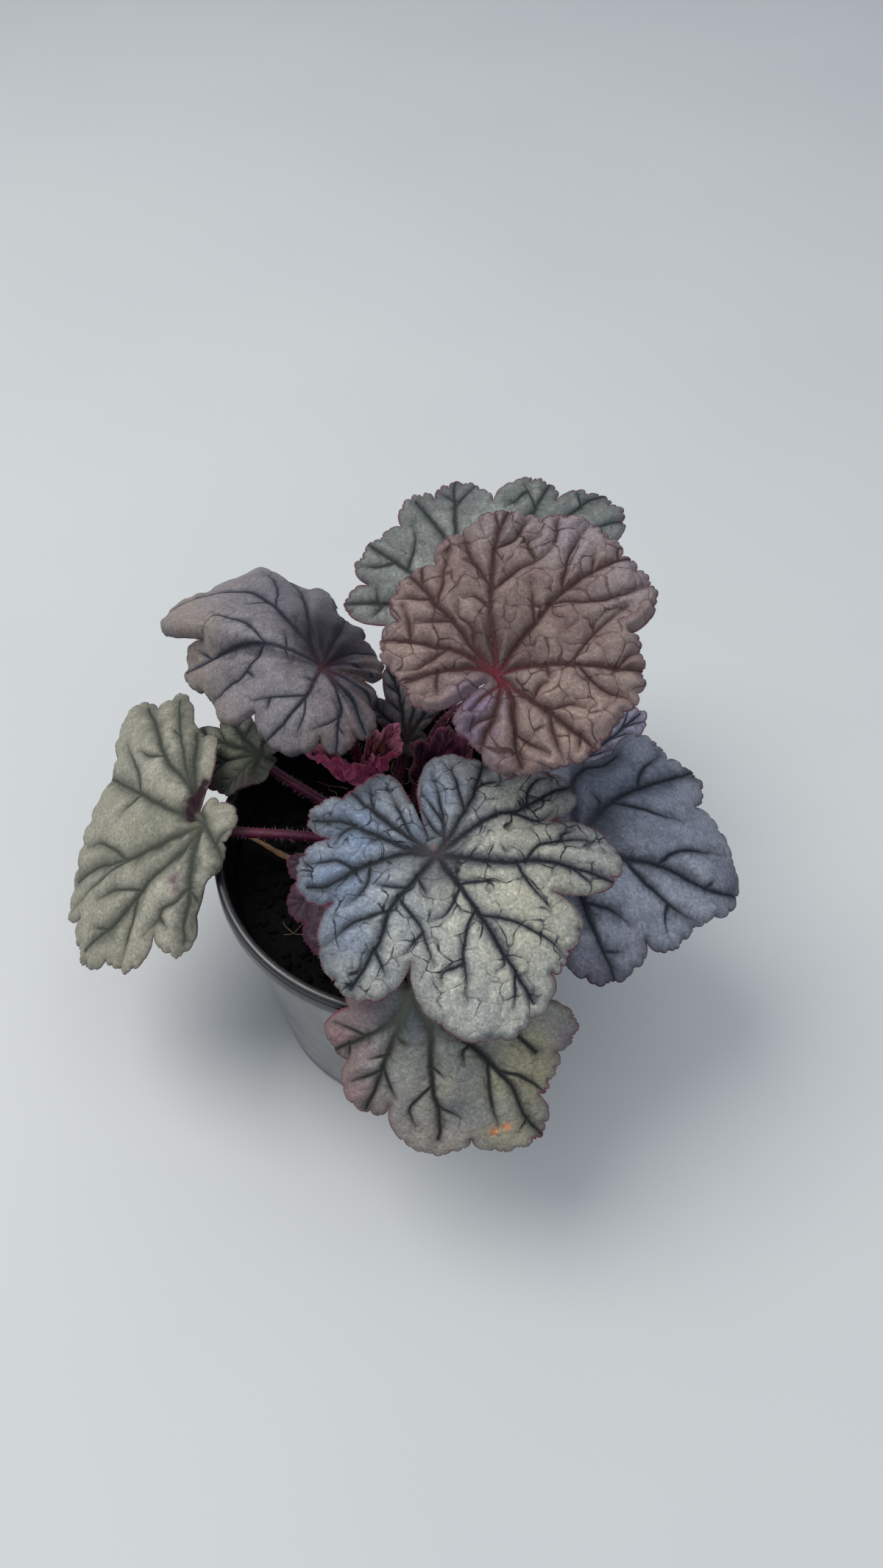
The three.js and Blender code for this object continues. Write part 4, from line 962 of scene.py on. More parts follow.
def vein_distance(lines, chart):
    """Distance to the nearest vein, signed distance across it, its half-width and the place along it."""
    points = np.concatenate([line for line, _ in lines])
    headings = np.concatenate([unit(np.gradient(line, axis=0)) for line, _ in lines])
    halves = np.concatenate([half for _, half in lines])
    shares = np.concatenate([np.linspace(0, 1, len(line)) for line, _ in lines])
    away, near = nearest(tree_of(points), chart)
    off = chart - points[near]
    across = headings[near, 0] * off[:, 1] - headings[near, 1] * off[:, 0]
    return away, across, halves[near], shares[near]


def net_cells(chart, pitch, seed):
    """Signed distance to the border between cells of the finest veins, and a number from 0 to 1 per cell."""
    rng = np.random.default_rng(seed)
    low, high = chart.min(0) - 2 * pitch, chart.max(0) + 2 * pitch
    x, y = np.meshgrid(np.arange(low[0], high[0], pitch), np.arange(low[1], high[1], pitch))
    seeds = np.stack([x.ravel(), y.ravel()], -1)
    seeds += rng.uniform(-NET["loose"], NET["loose"], seeds.shape) * pitch
    seeds = seeds[rng.uniform(size=len(seeds)) > NET["left_out"]]
    tree = tree_of(seeds)
    border, cell = np.empty(len(chart)), np.empty(len(chart), int)
    shifted = shaken(chart, NET["bow"] * pitch, NET["bow_pitch"] * pitch, seed)
    for i, (u, v) in enumerate(shifted.tolist()):
        (_, first, near), (_, second, far) = tree.find_n((u, v, 0.0), 2)
        border[i] = (far - near) / 2 * (1 if first < second else -1)
        cell[i] = first
    return border, rng.uniform(0, 1, len(seeds))[cell]


def blade_fields(leaf, look, chart, loop, seed):
    """What the relief and the colours of a blade follow at each chart point."""
    shifted = shaken(chart, *VEIN_WANDER, seed + 5)
    ribs, branches = (leaf["ribs"], leaf["branches"]) if "ribs" in leaf else rule_veins(leaf)
    ribs = vein_lines(ribs, look["veins"][:2], leaf["meet"])
    branches = joined_branches(branches, ribs, look["veins"][2:])
    f = {"rib": vein_distance(ribs, shifted), "branch": vein_distance(branches, shifted)}
    f["off_vein"] = np.maximum(np.minimum(*[away - half for away, _, half, _ in (f["rib"], f["branch"])]), 0)
    f["margin"], _ = nearest(tree_of(loop), chart)
    f["border"], f["cell"] = net_cells(chart, look["net"][1], seed + 9)
    f["reach"] = np.hypot(chart[:, 0], chart[:, 1])
    return f


def blade_relief(look, chart, f, seed):
    """Height of the upper face over the bare surface: quilted cells, sunken veins, waves and puckers."""
    margin, reach = f["margin"], f["reach"]
    calm = smoothstep(0, 2.2, margin)
    quilt = 1 - fade(f["off_vein"], look["swell"])
    cells = 1 - fade(np.abs(f["border"]), 0.85)
    size = CELL_HEIGHTS[0] + CELL_HEIGHTS[1] * f["cell"]
    lift = look["quilt"] * quilt * calm * (0.85 + 0.3 * waves(chart, seed, "quilt"))
    lift = lift + look["net"][0] * cells * size * quilt * calm
    for key, depth in SUNKEN.items():
        away, _, half, _ = f[key]
        lift = lift - depth * bell(away, np.maximum(1.3 * half, 0.4)) * calm
    lift = lift + BEND_HEIGHT * waves(chart, seed, "bend") * smoothstep(2, 9, reach)
    lift = lift + look["crumple"] * waves(chart, seed, "crumple") * smoothstep(1, 5, reach)
    ruffle = 1 - smoothstep(0, 5, margin)
    lift = lift + RUFFLE_HEIGHT * waves(chart, seed, "ruffle") * ruffle
    lift = lift - ROLLED_EDGE * (1 - smoothstep(0, 1.3, margin))
    angle = np.degrees(np.arctan2(chart[:, 0], chart[:, 1]))
    for middle, spread, pitch, height in look["pleats"]:
        off = (angle - middle + 180) % 360 - 180
        share = bell(off, spread, 4) * smoothstep(2, 12, reach)
        lift = lift + height * share * np.cos(2 * np.pi * off / pitch)
    for angle, place, radius, height in look["puckers"]:
        away = np.linalg.norm(chart - from_polar([(angle, place)])[0], axis=1)
        lift = lift + height * bell(away, radius) * smoothstep(0, 1.5, margin)
    return lift


def line_marks(key, away, across, half):
    """Two attributes that let the shader draw a crisp line: both are shares of the line's half-width."""
    return {f"{key}_across": across / half, f"{key}_away": (away - LINE_GUARD) / half}


def blade_marks(look, chart, f, seed):
    """The attributes that the blade's materials read."""
    width = look["halo_width"] * (0.8 + 0.4 * waves(chart, seed, "halo"))
    width = width * (1 + 0.35 * waves(chart, seed, "fine_halo"))
    rib, _, rib_half, _ = f["rib"]
    branch, _, branch_half, branch_share = f["branch"]
    fading = smoothstep(0.55, 1, branch_share)
    beside_rib = bell(np.maximum(rib - 0.6 * rib_half, 0), width, 1.3)
    beside_branch = bell(np.maximum(branch - 0.6 * branch_half, 0), 0.6 * width, 1.3)
    marks = {
        # halo: partly the leaf's own darker colour beside the veins, partly painted shade of the sunken veins
        "halo": np.maximum(beside_rib, (0.9 - 0.4 * fading) * beside_branch),
        "branch_strength": 0.95 - 0.6 * fading,
        "close": fade(f["off_vein"], look["net_reach"]),
        # Painted shade: darker in the valleys between the net's cells near the veins.
        "painted_valley_shade": fade(np.abs(f["border"]), 0.8) * (1 - fade(f["off_vein"], 1.2)),
        "cell": f["cell"],
        "edge": fade(f["margin"], look["edge_width"]) * (0.8 + 0.2 * waves(chart, seed, "edge")),
        "margin": bell(f["margin"], 0.42) * smoothstep(3, 14, f["reach"])
        * (0.45 + 0.55 * smoothstep(-0.3, 0.4, waves(chart, seed, "margin"))),
        "hub": bell(f["reach"], look["hub_size"], 1.6),
        "hub_vein": bell(f["reach"], look["hub_vein_size"], 1.5),
        **line_marks("rib", *f["rib"][:3]),
        **line_marks("branch", *f["branch"][:3]),
        **line_marks("net", np.abs(f["border"]), f["border"], NET["half_width"]),
    }
    patches = {f"tint_{i + 1}": spots for i, (_, spots) in enumerate(look["tints"])}
    # Spots of painted shade get an attribute of their own.
    if "shades" in look:
        patches["shade"] = look["shades"]
    for key, spots in patches.items():
        patch = np.zeros(len(chart))
        for angle, reach, radius, strength in spots:
            away = np.linalg.norm(chart - from_polar([(angle, reach)])[0], axis=1)
            away = away * (1 + 0.25 * wander(*chart.T, max(1.0, radius / 2), seed + 18))
            patch = np.maximum(patch, strength * bell(away, radius))
        marks[key] = np.clip(patch, 0, 1)
    return marks


def edge_hairs(chart, rim, over, along, upper, lower, seed):
    """Short hairs that fringe the blade's edge."""
    rng = np.random.default_rng(seed + 40)
    picked = rim[rng.uniform(size=len(rim)) < EDGE_HAIR["share_of_edges"]]
    start = picked[:, 0]
    run = chart[picked[:, 1]] - chart[start]
    out = unit(np.stack([run[:, 1], -run[:, 0]], -1))
    ways = over[start] * out[:, :1] + along[start] * out[:, 1:] + rng.normal(0, 0.35, (len(start), 3))
    share = rng.uniform(0.1, 0.9, (len(start), 1))
    roots = upper[start] * share + lower[start] * (1 - share)
    return hairs(roots, ways, rng.uniform(*EDGE_HAIR["length"], len(start)), EDGE_HAIR["radius"], seed + 41)


def blade_piece(leaf, seed):
    """The blade: a relief above, the same relief below with its ribs standing out, and a hairy edge."""
    look = PLAIN_LOOK | LOOKS[leaf["name"]]
    loop = edge_loop(leaf, seed, look["pitch"], look["ragged"])
    chart, triangles = filled_chart(loop, look["pitch"], seed)
    f = blade_fields(leaf, look, chart, loop, seed)
    over, along, normals = blade_slopes(leaf, chart)
    upper = blade_surface(leaf, chart) + normals * blade_relief(look, chart, f, seed)[:, None]
    inner = smoothstep(0, 1.5, f["margin"])
    body = MARGIN_THICKNESS + (BLADE_THICKNESS - MARGIN_THICKNESS) * inner
    ridge = np.maximum(*[height * bell(f[key][0], 1.5 * f[key][2]) for key, height in RAISED_BELOW.items()])
    lower = upper - normals * (body + ridge * inner)[:, None]
    count = len(chart)
    rim = rim_of(triangles)
    band = np.concatenate([
        np.stack([rim[:, 1], rim[:, 0], rim[:, 0] + count], -1),
        np.stack([rim[:, 1], rim[:, 0] + count, rim[:, 1] + count], -1),
    ])
    hair_points, hair_faces = edge_hairs(chart, rim, over, along, upper, lower, seed)
    points = np.concatenate([upper, lower, hair_points])
    faces = np.concatenate([triangles, triangles[:, ::-1] + count, band, hair_faces + 2 * count])
    kinds = np.repeat([0, 1, 2], [len(triangles), len(triangles) + len(band), len(hair_faces)])
    no_mark = np.zeros(len(hair_points))
    marks = blade_marks(look, chart, f, seed)
    attributes = {key: np.concatenate([values, values, no_mark]) for key, values in marks.items()}
    materials = [upper_material(leaf["name"], look), under_material(leaf["name"], look), HAIR]
    piece = make_piece(leaf["name"], points, faces, materials, kinds, attributes)
    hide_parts(f"{leaf['name']}_blade")
    return piece


# ---------------------------------------------------------------- stalks and crown


def crown_foot(ring, azimuth, towards, radius):
    """Where a stalk's solid starts on the crown's dome, and the way out of the dome there."""
    out = direction(azimuth, CROWN_RINGS[ring])
    centre = np.array([0, 0, CROWN["dome_centre"]], float)
    seat = centre + out * CROWN["radius"]
    slant = np.arccos(np.clip(unit(np.array(towards, float) - seat) @ out, -1, 1))
    return centre + out * (CROWN["radius"] + TOUCH_GAP + radius * np.sin(slant)), out


def bezier(a, b, c, d, count):
    t = np.linspace(0, 1, count)[:, None]
    return (1 - t) ** 3 * a + 3 * (1 - t) ** 2 * t * b + 3 * (1 - t) * t**2 * c + t**3 * d


def stalk_hairs(path, radii, seed):
    """Hairs that stand out from a stalk all along it."""
    rng = np.random.default_rng(seed)
    length = np.linalg.norm(np.diff(path, axis=0), axis=1).sum()
    count = int(length * STALK_HAIR["each_millimetre"])
    place = rng.uniform(0.03, 0.97, count) * (len(path) - 1)
    i = place.astype(int)
    share = (place - i)[:, None]
    centre = path[i] * (1 - share) + path[i + 1] * share
    heading = unit(path[i + 1] - path[i])
    ways = unit(np.cross(heading, rng.normal(size=(count, 3))))
    roots = centre + ways * (np.asarray(radii)[i][:, None] - STALK_HAIR["rooted"])
    ways = ways + heading * rng.uniform(-0.2, 0.5, (count, 1))
    return hairs(roots, ways, rng.uniform(*STALK_HAIR["length"], count), STALK_HAIR["radius"], seed)


def stalk_piece(leaf, seed):
    """A grooved, hairy stalk that grows out of the crown and widens into the blade's hub."""
    stalk = leaf["stalk"]
    radius = STALK_RADIUS["small" if stalk.get("small") else "main"]
    _, _, normal = blade_frame(leaf)
    droop = max(0, *[-lobe[2] for lobe in leaf["lobes"]])
    hub = np.array(leaf["hub"], float)
    foot, out = crown_foot(stalk["ring"], stalk["azimuth"], stalk["sweep"], radius)
    end = hub - normal * (SOLID_BLADE_THICKNESS + SOLID_HUB_GAP + radius * np.tan(np.radians(droop)))
    top = hub - normal * (FINE_HUB_GAP + radius * np.tan(np.radians(droop)))
    curve = bezier(foot, np.array(stalk["sweep"], float), end - normal * stalk["last"], end, 70)
    path = np.concatenate([[foot - out * 1.9, foot - out * 0.9], curve, [top]])
    share = np.linspace(0, 1, len(path))
    radii = radius * (0.96 + 0.2 * bell(share, 0.06) + 0.03 * wander(share * 60, share, 7, seed))
    radii = radii * (1 + 0.1 * smoothstep(0.95, 1, share))
    skin = tube(path, radii, STALK_SIDES, grooves=5, groove_depth=0.05)
    fringe = stalk_hairs(path, radii, seed)
    points, faces = join([skin, fringe])
    kinds = np.repeat([0, 1], [len(skin[1]), len(fringe[1])])
    along = np.concatenate([np.repeat(share, STALK_SIDES), np.zeros(len(fringe[0]))])
    piece = make_piece(f"{leaf['name']}_petiole", points, faces, [STALK, HAIR], kinds, {"share": along})
    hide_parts(f"{leaf['name']}_stalk")
    return piece


def spent_piece(seed):
    """The dry stalk that has lost its leaf: thin, kinked, grooved and narrower towards its end."""
    radius = SPENT_STALK["radius"]
    points = [np.array(p, float) for p in SPENT_STALK["points"]]
    foot, out = crown_foot("outer", SPENT_STALK["azimuth"], points[0], radius)
    path = smooth_path([foot - out * 1.6, foot, *points], 0.7)
    share = np.linspace(0, 1, len(path))
    path = path + 0.18 * np.stack([wander(share * 50, share + k, 4, seed + k) for k in range(3)], -1)
    radii = radius * (1 - 0.35 * smoothstep(0.6, 1, share) + 0.12 * wander(share * 80, share, 3, seed + 4))
    piece = make_piece("spent_petiole", *tube(path, radii, 12, grooves=4, groove_depth=0.14), [DRY])
    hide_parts("spent_stalk")
    return piece


def scale_strip(azimuth, height, length, width, lean, seed):
    """A papery sheath at the foot of a stalk: a pointed strip that cups the crown and flares at its tip."""
    rng = np.random.default_rng(seed)
    across, up = 7, 12
    out = direction(azimuth, 0)
    side = np.array([-out[1], out[0], 0])
    points = []
    for shell in (0.0, SCALES["thickness"]):
        for i in range(up):
            t = i / (up - 1)
            half = width * (1 - t**2.2) * 0.5 + 0.15
            hug = CROWN["radius"] * np.cos(np.radians(height + 40 * t)) + 0.4 + lean * t**1.6
            lift = CROWN["dome_centre"] + CROWN["radius"] * np.sin(np.radians(height)) + length * t
            for j in range(across):
                s = 2 * j / (across - 1) - 1
                reach = hug - 0.8 * s * s - shell
                points.append(out * reach + side * (s * half) + np.array([0, 0, lift]))
    points = np.array(points) + rng.normal(0, 0.08, (len(points), 3))
    faces, size = [], across * up
    for i in range(up - 1):
        for j in range(across - 1):
            a = i * across + j
            b, c, d = a + 1, a + 1 + across, a + across
            faces += [[a, b, c, d], [a + size, d + size, c + size, b + size]]
    ring = list(range(across)) + [i * across + across - 1 for i in range(1, up)]
    ring += [(up - 1) * across + j for j in range(across - 2, -1, -1)]
    ring += [i * across for i in range(up - 2, 0, -1)]
    for n, a in enumerate(ring):
        b = ring[(n + 1) % len(ring)]
        faces.append([b, a, a + size, b + size])
    return points, faces


def crown_piece(seed):
    """The woody crown: a lumpy dome wrapped in the papery feet of old stalks."""
    rng = np.random.default_rng(seed)
    radius, middle = CROWN["radius"], CROWN["dome_centre"]
    profile = [(AXIS_GAP, CROWN["foot"]), (radius - 3, CROWN["foot"]), (radius, middle - 3)]
    steps = 30
    for i in range(steps):
        a = np.pi / 2 * i / steps
        profile.append((radius * np.cos(a), middle + radius * np.sin(a)))
    profile.append((AXIS_GAP, middle + radius))
    points, faces = turned(profile, 72)
    azimuth = np.degrees(np.arctan2(points[:, 1], points[:, 0]))
    dome = smoothstep(middle - 2, middle + 2, points[:, 2])
    lump = 0.5 * wander(azimuth, points[:, 2] * 6, 22, seed)
    lump += 0.35 * wander(azimuth, points[:, 2] * 9, 8, seed + 1)
    points[:, :2] *= (1 + (lump - 0.5)[:, None] * dome[:, None] / radius)
    parts = [(points, faces)]
    for i in range(SCALES["count"]):
        azimuth = 360 * i / SCALES["count"] + rng.uniform(-6, 6)
        height = SCALES["heights"][i % 3] + rng.uniform(-4, 4)
        shape = [rng.uniform(*SCALES[key]) for key in ("length", "width", "lean")]
        parts.append(scale_strip(azimuth, height, *shape, seed + i))
    piece = make_piece("rootstock", *join(parts), [CROWN_SKIN])
    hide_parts("crown")
    return piece


# ---------------------------------------------------------------- soil


def soil_height(x, y):
    return SOIL_LEVEL - 0.5 + 0.7 * wander(x, y, 7, 71) + 0.35 * wander(x, y, 2.6, 72)


def soil_body():
    """The soil as a body that fills the pot, with an uneven top round the crown's peg."""
    foot = POT["floor"] + TOUCH_GAP
    profile = [(AXIS_GAP, foot), (pot_radius(foot) - POT["wall"] - TOUCH_GAP, foot)]
    edge = pot_radius(SOIL_LEVEL) - POT["wall"] - TOUCH_GAP
    profile += [(r, SOIL_LEVEL) for r in np.linspace(edge, CROWN["radius"] - 1, 62)]
    points, faces = turned(profile, 200)
    top = points[:, 2] > SOIL_LEVEL - 0.1
    points[top, 2] = soil_height(points[top, 0], points[top, 1])
    return points, faces


def soil_crumbs(seed):
    """Rough crumbs strewn over the soil, each a beaten round lump."""
    rng = np.random.default_rng(seed)
    count = CRUMBS["count"]
    radius = np.sqrt(rng.uniform((CROWN["radius"] + 1) ** 2, CRUMBS["field"] ** 2, count))
    azimuth = rng.uniform(0, 2 * np.pi, count)
    x, y = radius * np.cos(azimuth), radius * np.sin(azimuth)
    sizes = rng.uniform(0.35, 1.0, count) ** 2 * CRUMBS["range"] + CRUMBS["smallest"]
    centres = np.stack([x, y, soil_height(x, y) + 0.25 * sizes], -1)
    shape = bmesh.new()
    bmesh.ops.create_icosphere(shape, subdivisions=2, radius=1)
    ball = np.array([tuple(v.co) for v in shape.verts])
    faces = np.array([[v.index for v in face.verts] for face in shape.faces])
    shape.free()
    beaten = ball[None] * rng.uniform(0.72, 1.18, (count, len(ball), 1))
    beaten *= rng.uniform(0.6, 1.2, (count, 1, 3))
    points = (centres[:, None] + beaten * sizes[:, None, None]).reshape(-1, 3)
    return points, (np.arange(count)[:, None, None] * len(ball) + faces[None]).reshape(-1, 3)


def soil_fibres(seed):
    """Fine pale roots that lie on the soil in loose curves."""
    rng = np.random.default_rng(seed)
    parts = []
    for _ in range(FIBRES["count"]):
        radius, azimuth = rng.uniform(*FIBRES["starts"]), rng.uniform(0, 360)
        rows = [direction(azimuth, 0)[:2] * radius]
        way = rng.uniform(0, 2 * np.pi)
        for _ in range(FIBRES["steps"]):
            way += rng.normal(0, 0.5)
            step = rows[-1] + rng.uniform(*FIBRES["step"]) * np.array([np.cos(way), np.sin(way)])
            rows.append(step * min(1, FIBRES["field"] / np.hypot(*step)))
        x, y = np.array(rows).T
        height = soil_height(x, y) + 0.45 + 0.5 * np.abs(wander(x, y, 3, seed))
        path = smooth_path(np.stack([x, y, height], 1), 0.5)
        radii = np.linspace(rng.uniform(*FIBRES["radius"]), FIBRE_TIP_RADIUS, len(path))
        parts.append(tube(path, radii, 6))
    return join(parts)


def soil_twig():
    """A short brown twig among the crumbs."""
    path = smooth_path(TWIG_POINTS, 0.5)
    bumps = wander(np.arange(len(path)), 0 * path[:, 0], 2.4, 5)
    radii = np.linspace(0.85, 0.5, len(path)) * (1 + 0.12 * bumps)
    return tube(path, radii, 10, grooves=3, groove_depth=0.12)


def soil_piece(seed):
    parts = [soil_body(), soil_crumbs(seed), soil_fibres(seed + 1), soil_twig()]
    kinds = np.repeat([0, 0, 1, 2], [len(faces) for _, faces in parts])
    piece = make_piece("soil_fill", *join(parts), [EARTH, ROOT, DRY], kinds)
    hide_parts("soil")
    return piece


# ---------------------------------------------------------------- pot


def pot_radius(z):
    """Radius of the pot's outer wall at a height, below the rim's band."""
    wall_height = POT["height"] - POT["rim_height"]
    return POT["base_radius"] + (POT["wall_top_radius"] - POT["base_radius"]) * z / wall_height


def drain_centres():
    """The middles of the drain holes, as seen from above."""
    turns = 2 * np.pi * (np.arange(POT["drain_holes"]) + 0.5) / POT["drain_holes"]
    return [np.array([np.cos(a), np.sin(a)]) * POT["drain_circle"] for a in turns]


def drilled_plate(radius, height, facing):
    """A round plate with the drain holes left open."""
    points = [(radius * np.cos(a), radius * np.sin(a)) for a in round_turn(POT_SEGMENTS)]
    edges = []
    for centre in drain_centres():
        start = len(points)
        for b in round_turn(DRAIN_SIDES):
            points.append(tuple(centre + POT["drain_hole_radius"] * np.array([np.cos(b), np.sin(b)])))
        edges += [(start + n, start + (n + 1) % DRAIN_SIDES) for n in range(DRAIN_SIDES)]
    made = delaunay_2d_cdt([Vector(p) for p in points], edges, [list(range(POT_SEGMENTS))], 1, 1e-5, False)
    flat = np.array([tuple(v) for v in made[0]])
    triangles = np.array(made[2])
    middle = flat[triangles].mean(1)
    drilled = np.zeros(len(triangles), bool)
    for centre in drain_centres():
        drilled |= np.linalg.norm(middle - centre, axis=1) < POT["drain_hole_radius"] * 0.995
    triangles = triangles[~drilled][:, ::facing]
    return np.concatenate([flat, np.full((len(flat), 1), height)], 1), triangles


def drain_walls():
    """The walls of the drain holes, through the pot's floor."""
    parts = []
    for centre in drain_centres():
        points, faces = turned([(POT["drain_hole_radius"], z) for z in (POT["floor"], 0)], DRAIN_SIDES)
        points[:, :2] += centre
        parts.append((points, faces))
    return join(parts)


def pot_shell():
    """The moulded wall: a foot with a small step, a tapered side, and a rounded, grooved rim."""
    base, top, wall = POT["base_radius"], POT["height"], POT["wall"]
    band = top - POT["rim_height"]
    rim, lip = POT["rim_radius"], POT["rim_radius"] - POT["rim_width"]
    outer = [(base - FOOT_BEVEL, 0), (base - 0.7, 0.25), (base - 0.25, 0.8)]
    outer += [(pot_radius(z), z) for z in (1.5, 3.0, 3.2)]
    outer += [(pot_radius(z) - 0.22, z) for z in (3.5, 5.0, 5.3)]
    outer += [(pot_radius(z), z) for z in (5.7, 8, 16, 24, 32, 40, 48, 56, 64, 71, 75, 77.2)]
    outer.append((pot_radius(band) + 0.3, band - 0.2))
    outer += [(rim - inset, band + rise) for inset, rise in RIM_PROFILE]
    outer += [(rim - 1.25, top), (lip + 0.7, top), (lip + 0.3, top - 0.12), (lip + 0.05, top - 0.45)]
    inner = [(lip - 0.3, top - 2), (lip - 0.8, band + 1), (POT["wall_top_radius"] - wall, band - 1)]
    inner += [(pot_radius(z) - wall, z) for z in (70, 55, 40, 25, 10, POT["floor"])]
    points, faces = turned(outer + inner, POT_SEGMENTS)
    # Kinds: 0 for the wall below the rim's band, 2 for the rim, 1 for the inside, whose material is painted
    # shade.
    wall_rows = np.flatnonzero(np.array([z for _, z in outer]) >= band)[0]
    rows = [wall_rows, len(outer) - wall_rows, len(outer + inner) - 1 - len(outer)]
    return points, faces, np.repeat([0, 2, 1], np.array(rows) * POT_SEGMENTS)


def pot_piece():
    points, faces, shell_kinds = pot_shell()
    points, faces = join([
        (points, faces),
        drilled_plate(POT["base_radius"] - FOOT_BEVEL, 0, -1),
        drilled_plate(pot_radius(POT["floor"]) - POT["wall"], POT["floor"], 1),
        drain_walls(),
    ])
    kinds = np.concatenate([shell_kinds, np.zeros(len(faces) - len(shell_kinds))])
    piece = make_piece("nursery_pot", points, faces, [PLASTIC, SHADED_PLASTIC, RIM_PLASTIC], kinds)
    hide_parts("pot")
    return piece


# ---------------------------------------------------------------- materials


class Shader:
    """A material under construction: its nodes, its colour so far, and short calls for what is used often."""

    def __init__(self, name, roughness, **numbers):
        self.material = bpy.data.materials.new(name)
        self.material.use_nodes = True
        self.tree = self.material.node_tree
        self.surface = self.tree.nodes["Principled BSDF"]
        self.surface.inputs["Roughness"].default_value = roughness
        for key, value in numbers.items():
            self.surface.inputs[key.replace("_", " ")].default_value = value
        self.place = self.tree.nodes.new("ShaderNodeTexCoord").outputs["Object"]

    def add(self, kind, inputs, output, **settings):
        node = self.tree.nodes.new(kind)
        for key, value in settings.items():
            setattr(node, key, value)
        for key, value in inputs.items():
            if isinstance(value, bpy.types.NodeSocket):
                self.tree.links.new(value, node.inputs[key])
            else:
                node.inputs[key].default_value = value
        return node.outputs[output]

    def mark(self, name):
        return self.add("ShaderNodeAttribute", {}, "Fac", attribute_name=name)

    def noise(self, features_per_metre, detail=3.0, rough=0.55):
        settings = {"Vector": self.place, "Scale": features_per_metre, "Detail": detail, "Roughness": rough}
        return self.add("ShaderNodeTexNoise", settings, 0)

    def ramp(self, value, low, high, to_low=0.0, to_high=1.0):
        settings = {"Value": value, "From Min": low, "From Max": high, "To Min": to_low, "To Max": to_high}
        return self.add("ShaderNodeMapRange", settings, 0)

    def specks(self, features_per_metre, detail, low, high, to_low=0.0, to_high=1.0, rough=0.55):
        """Noise cut off below and above."""
        return self.ramp(self.noise(features_per_metre, detail, rough), low, high, to_low, to_high)

    def maths(self, operation, a, b):
        return self.add("ShaderNodeMath", {0: a, 1: b}, 0, operation=operation)

    def times(self, a, b):
        return self.maths("MULTIPLY", a, b)

    def line(self, key, soft=0.0):
        """1 on a vein and 0 beside it, with a slightly ragged edge that is soft or crisp."""
        across = self.add("ShaderNodeMath", {0: self.mark(f"{key}_across")}, 0, operation="ABSOLUTE")
        off = self.maths("MAXIMUM", across, self.mark(f"{key}_away"))
        off = self.maths("ADD", off, self.specks(1300, 2, 0.3, 0.7, -0.3, 0.3))
        return self.ramp(off, 0.7 - 0.35 * soft, 1.35 + 0.9 * soft, 1, 0)

    def mix(self, share, a, b, blend="MIX"):
        return self.add("ShaderNodeMix", {0: share, 6: a, 7: b}, 2, data_type="RGBA", blend_type=blend)

    def start(self, share, first, second):
        """Begins the colour with two sRGB colours."""
        self.colour = self.mix(share, linear(first), linear(second))

    def cover(self, share, colour):
        """Lays an sRGB colour over the colour so far."""
        self.colour = self.mix(share, self.colour, linear(colour))

    def tone(self, share, factors):
        """Lightens or darkens the colour so far."""
        self.colour = self.mix(share, self.colour, (*factors, 1), "MULTIPLY")

    def finish(self, bumps, roughness=None):
        """Links the colour, the bumps as (height, strength, distance in millimetres) and a roughness."""
        self.tree.links.new(self.colour, self.surface.inputs["Base Color"])
        if roughness is not None:
            self.tree.links.new(roughness, self.surface.inputs["Roughness"])
        normal = None
        for height, strength, distance in bumps:
            inputs = {"Height": height, "Strength": strength, "Distance": distance * MM}
            if normal is not None:
                inputs["Normal"] = normal
            normal = self.add("ShaderNodeBump", inputs, 0)
        if normal is not None:
            self.tree.links.new(normal, self.surface.inputs["Normal"])
        return self.material


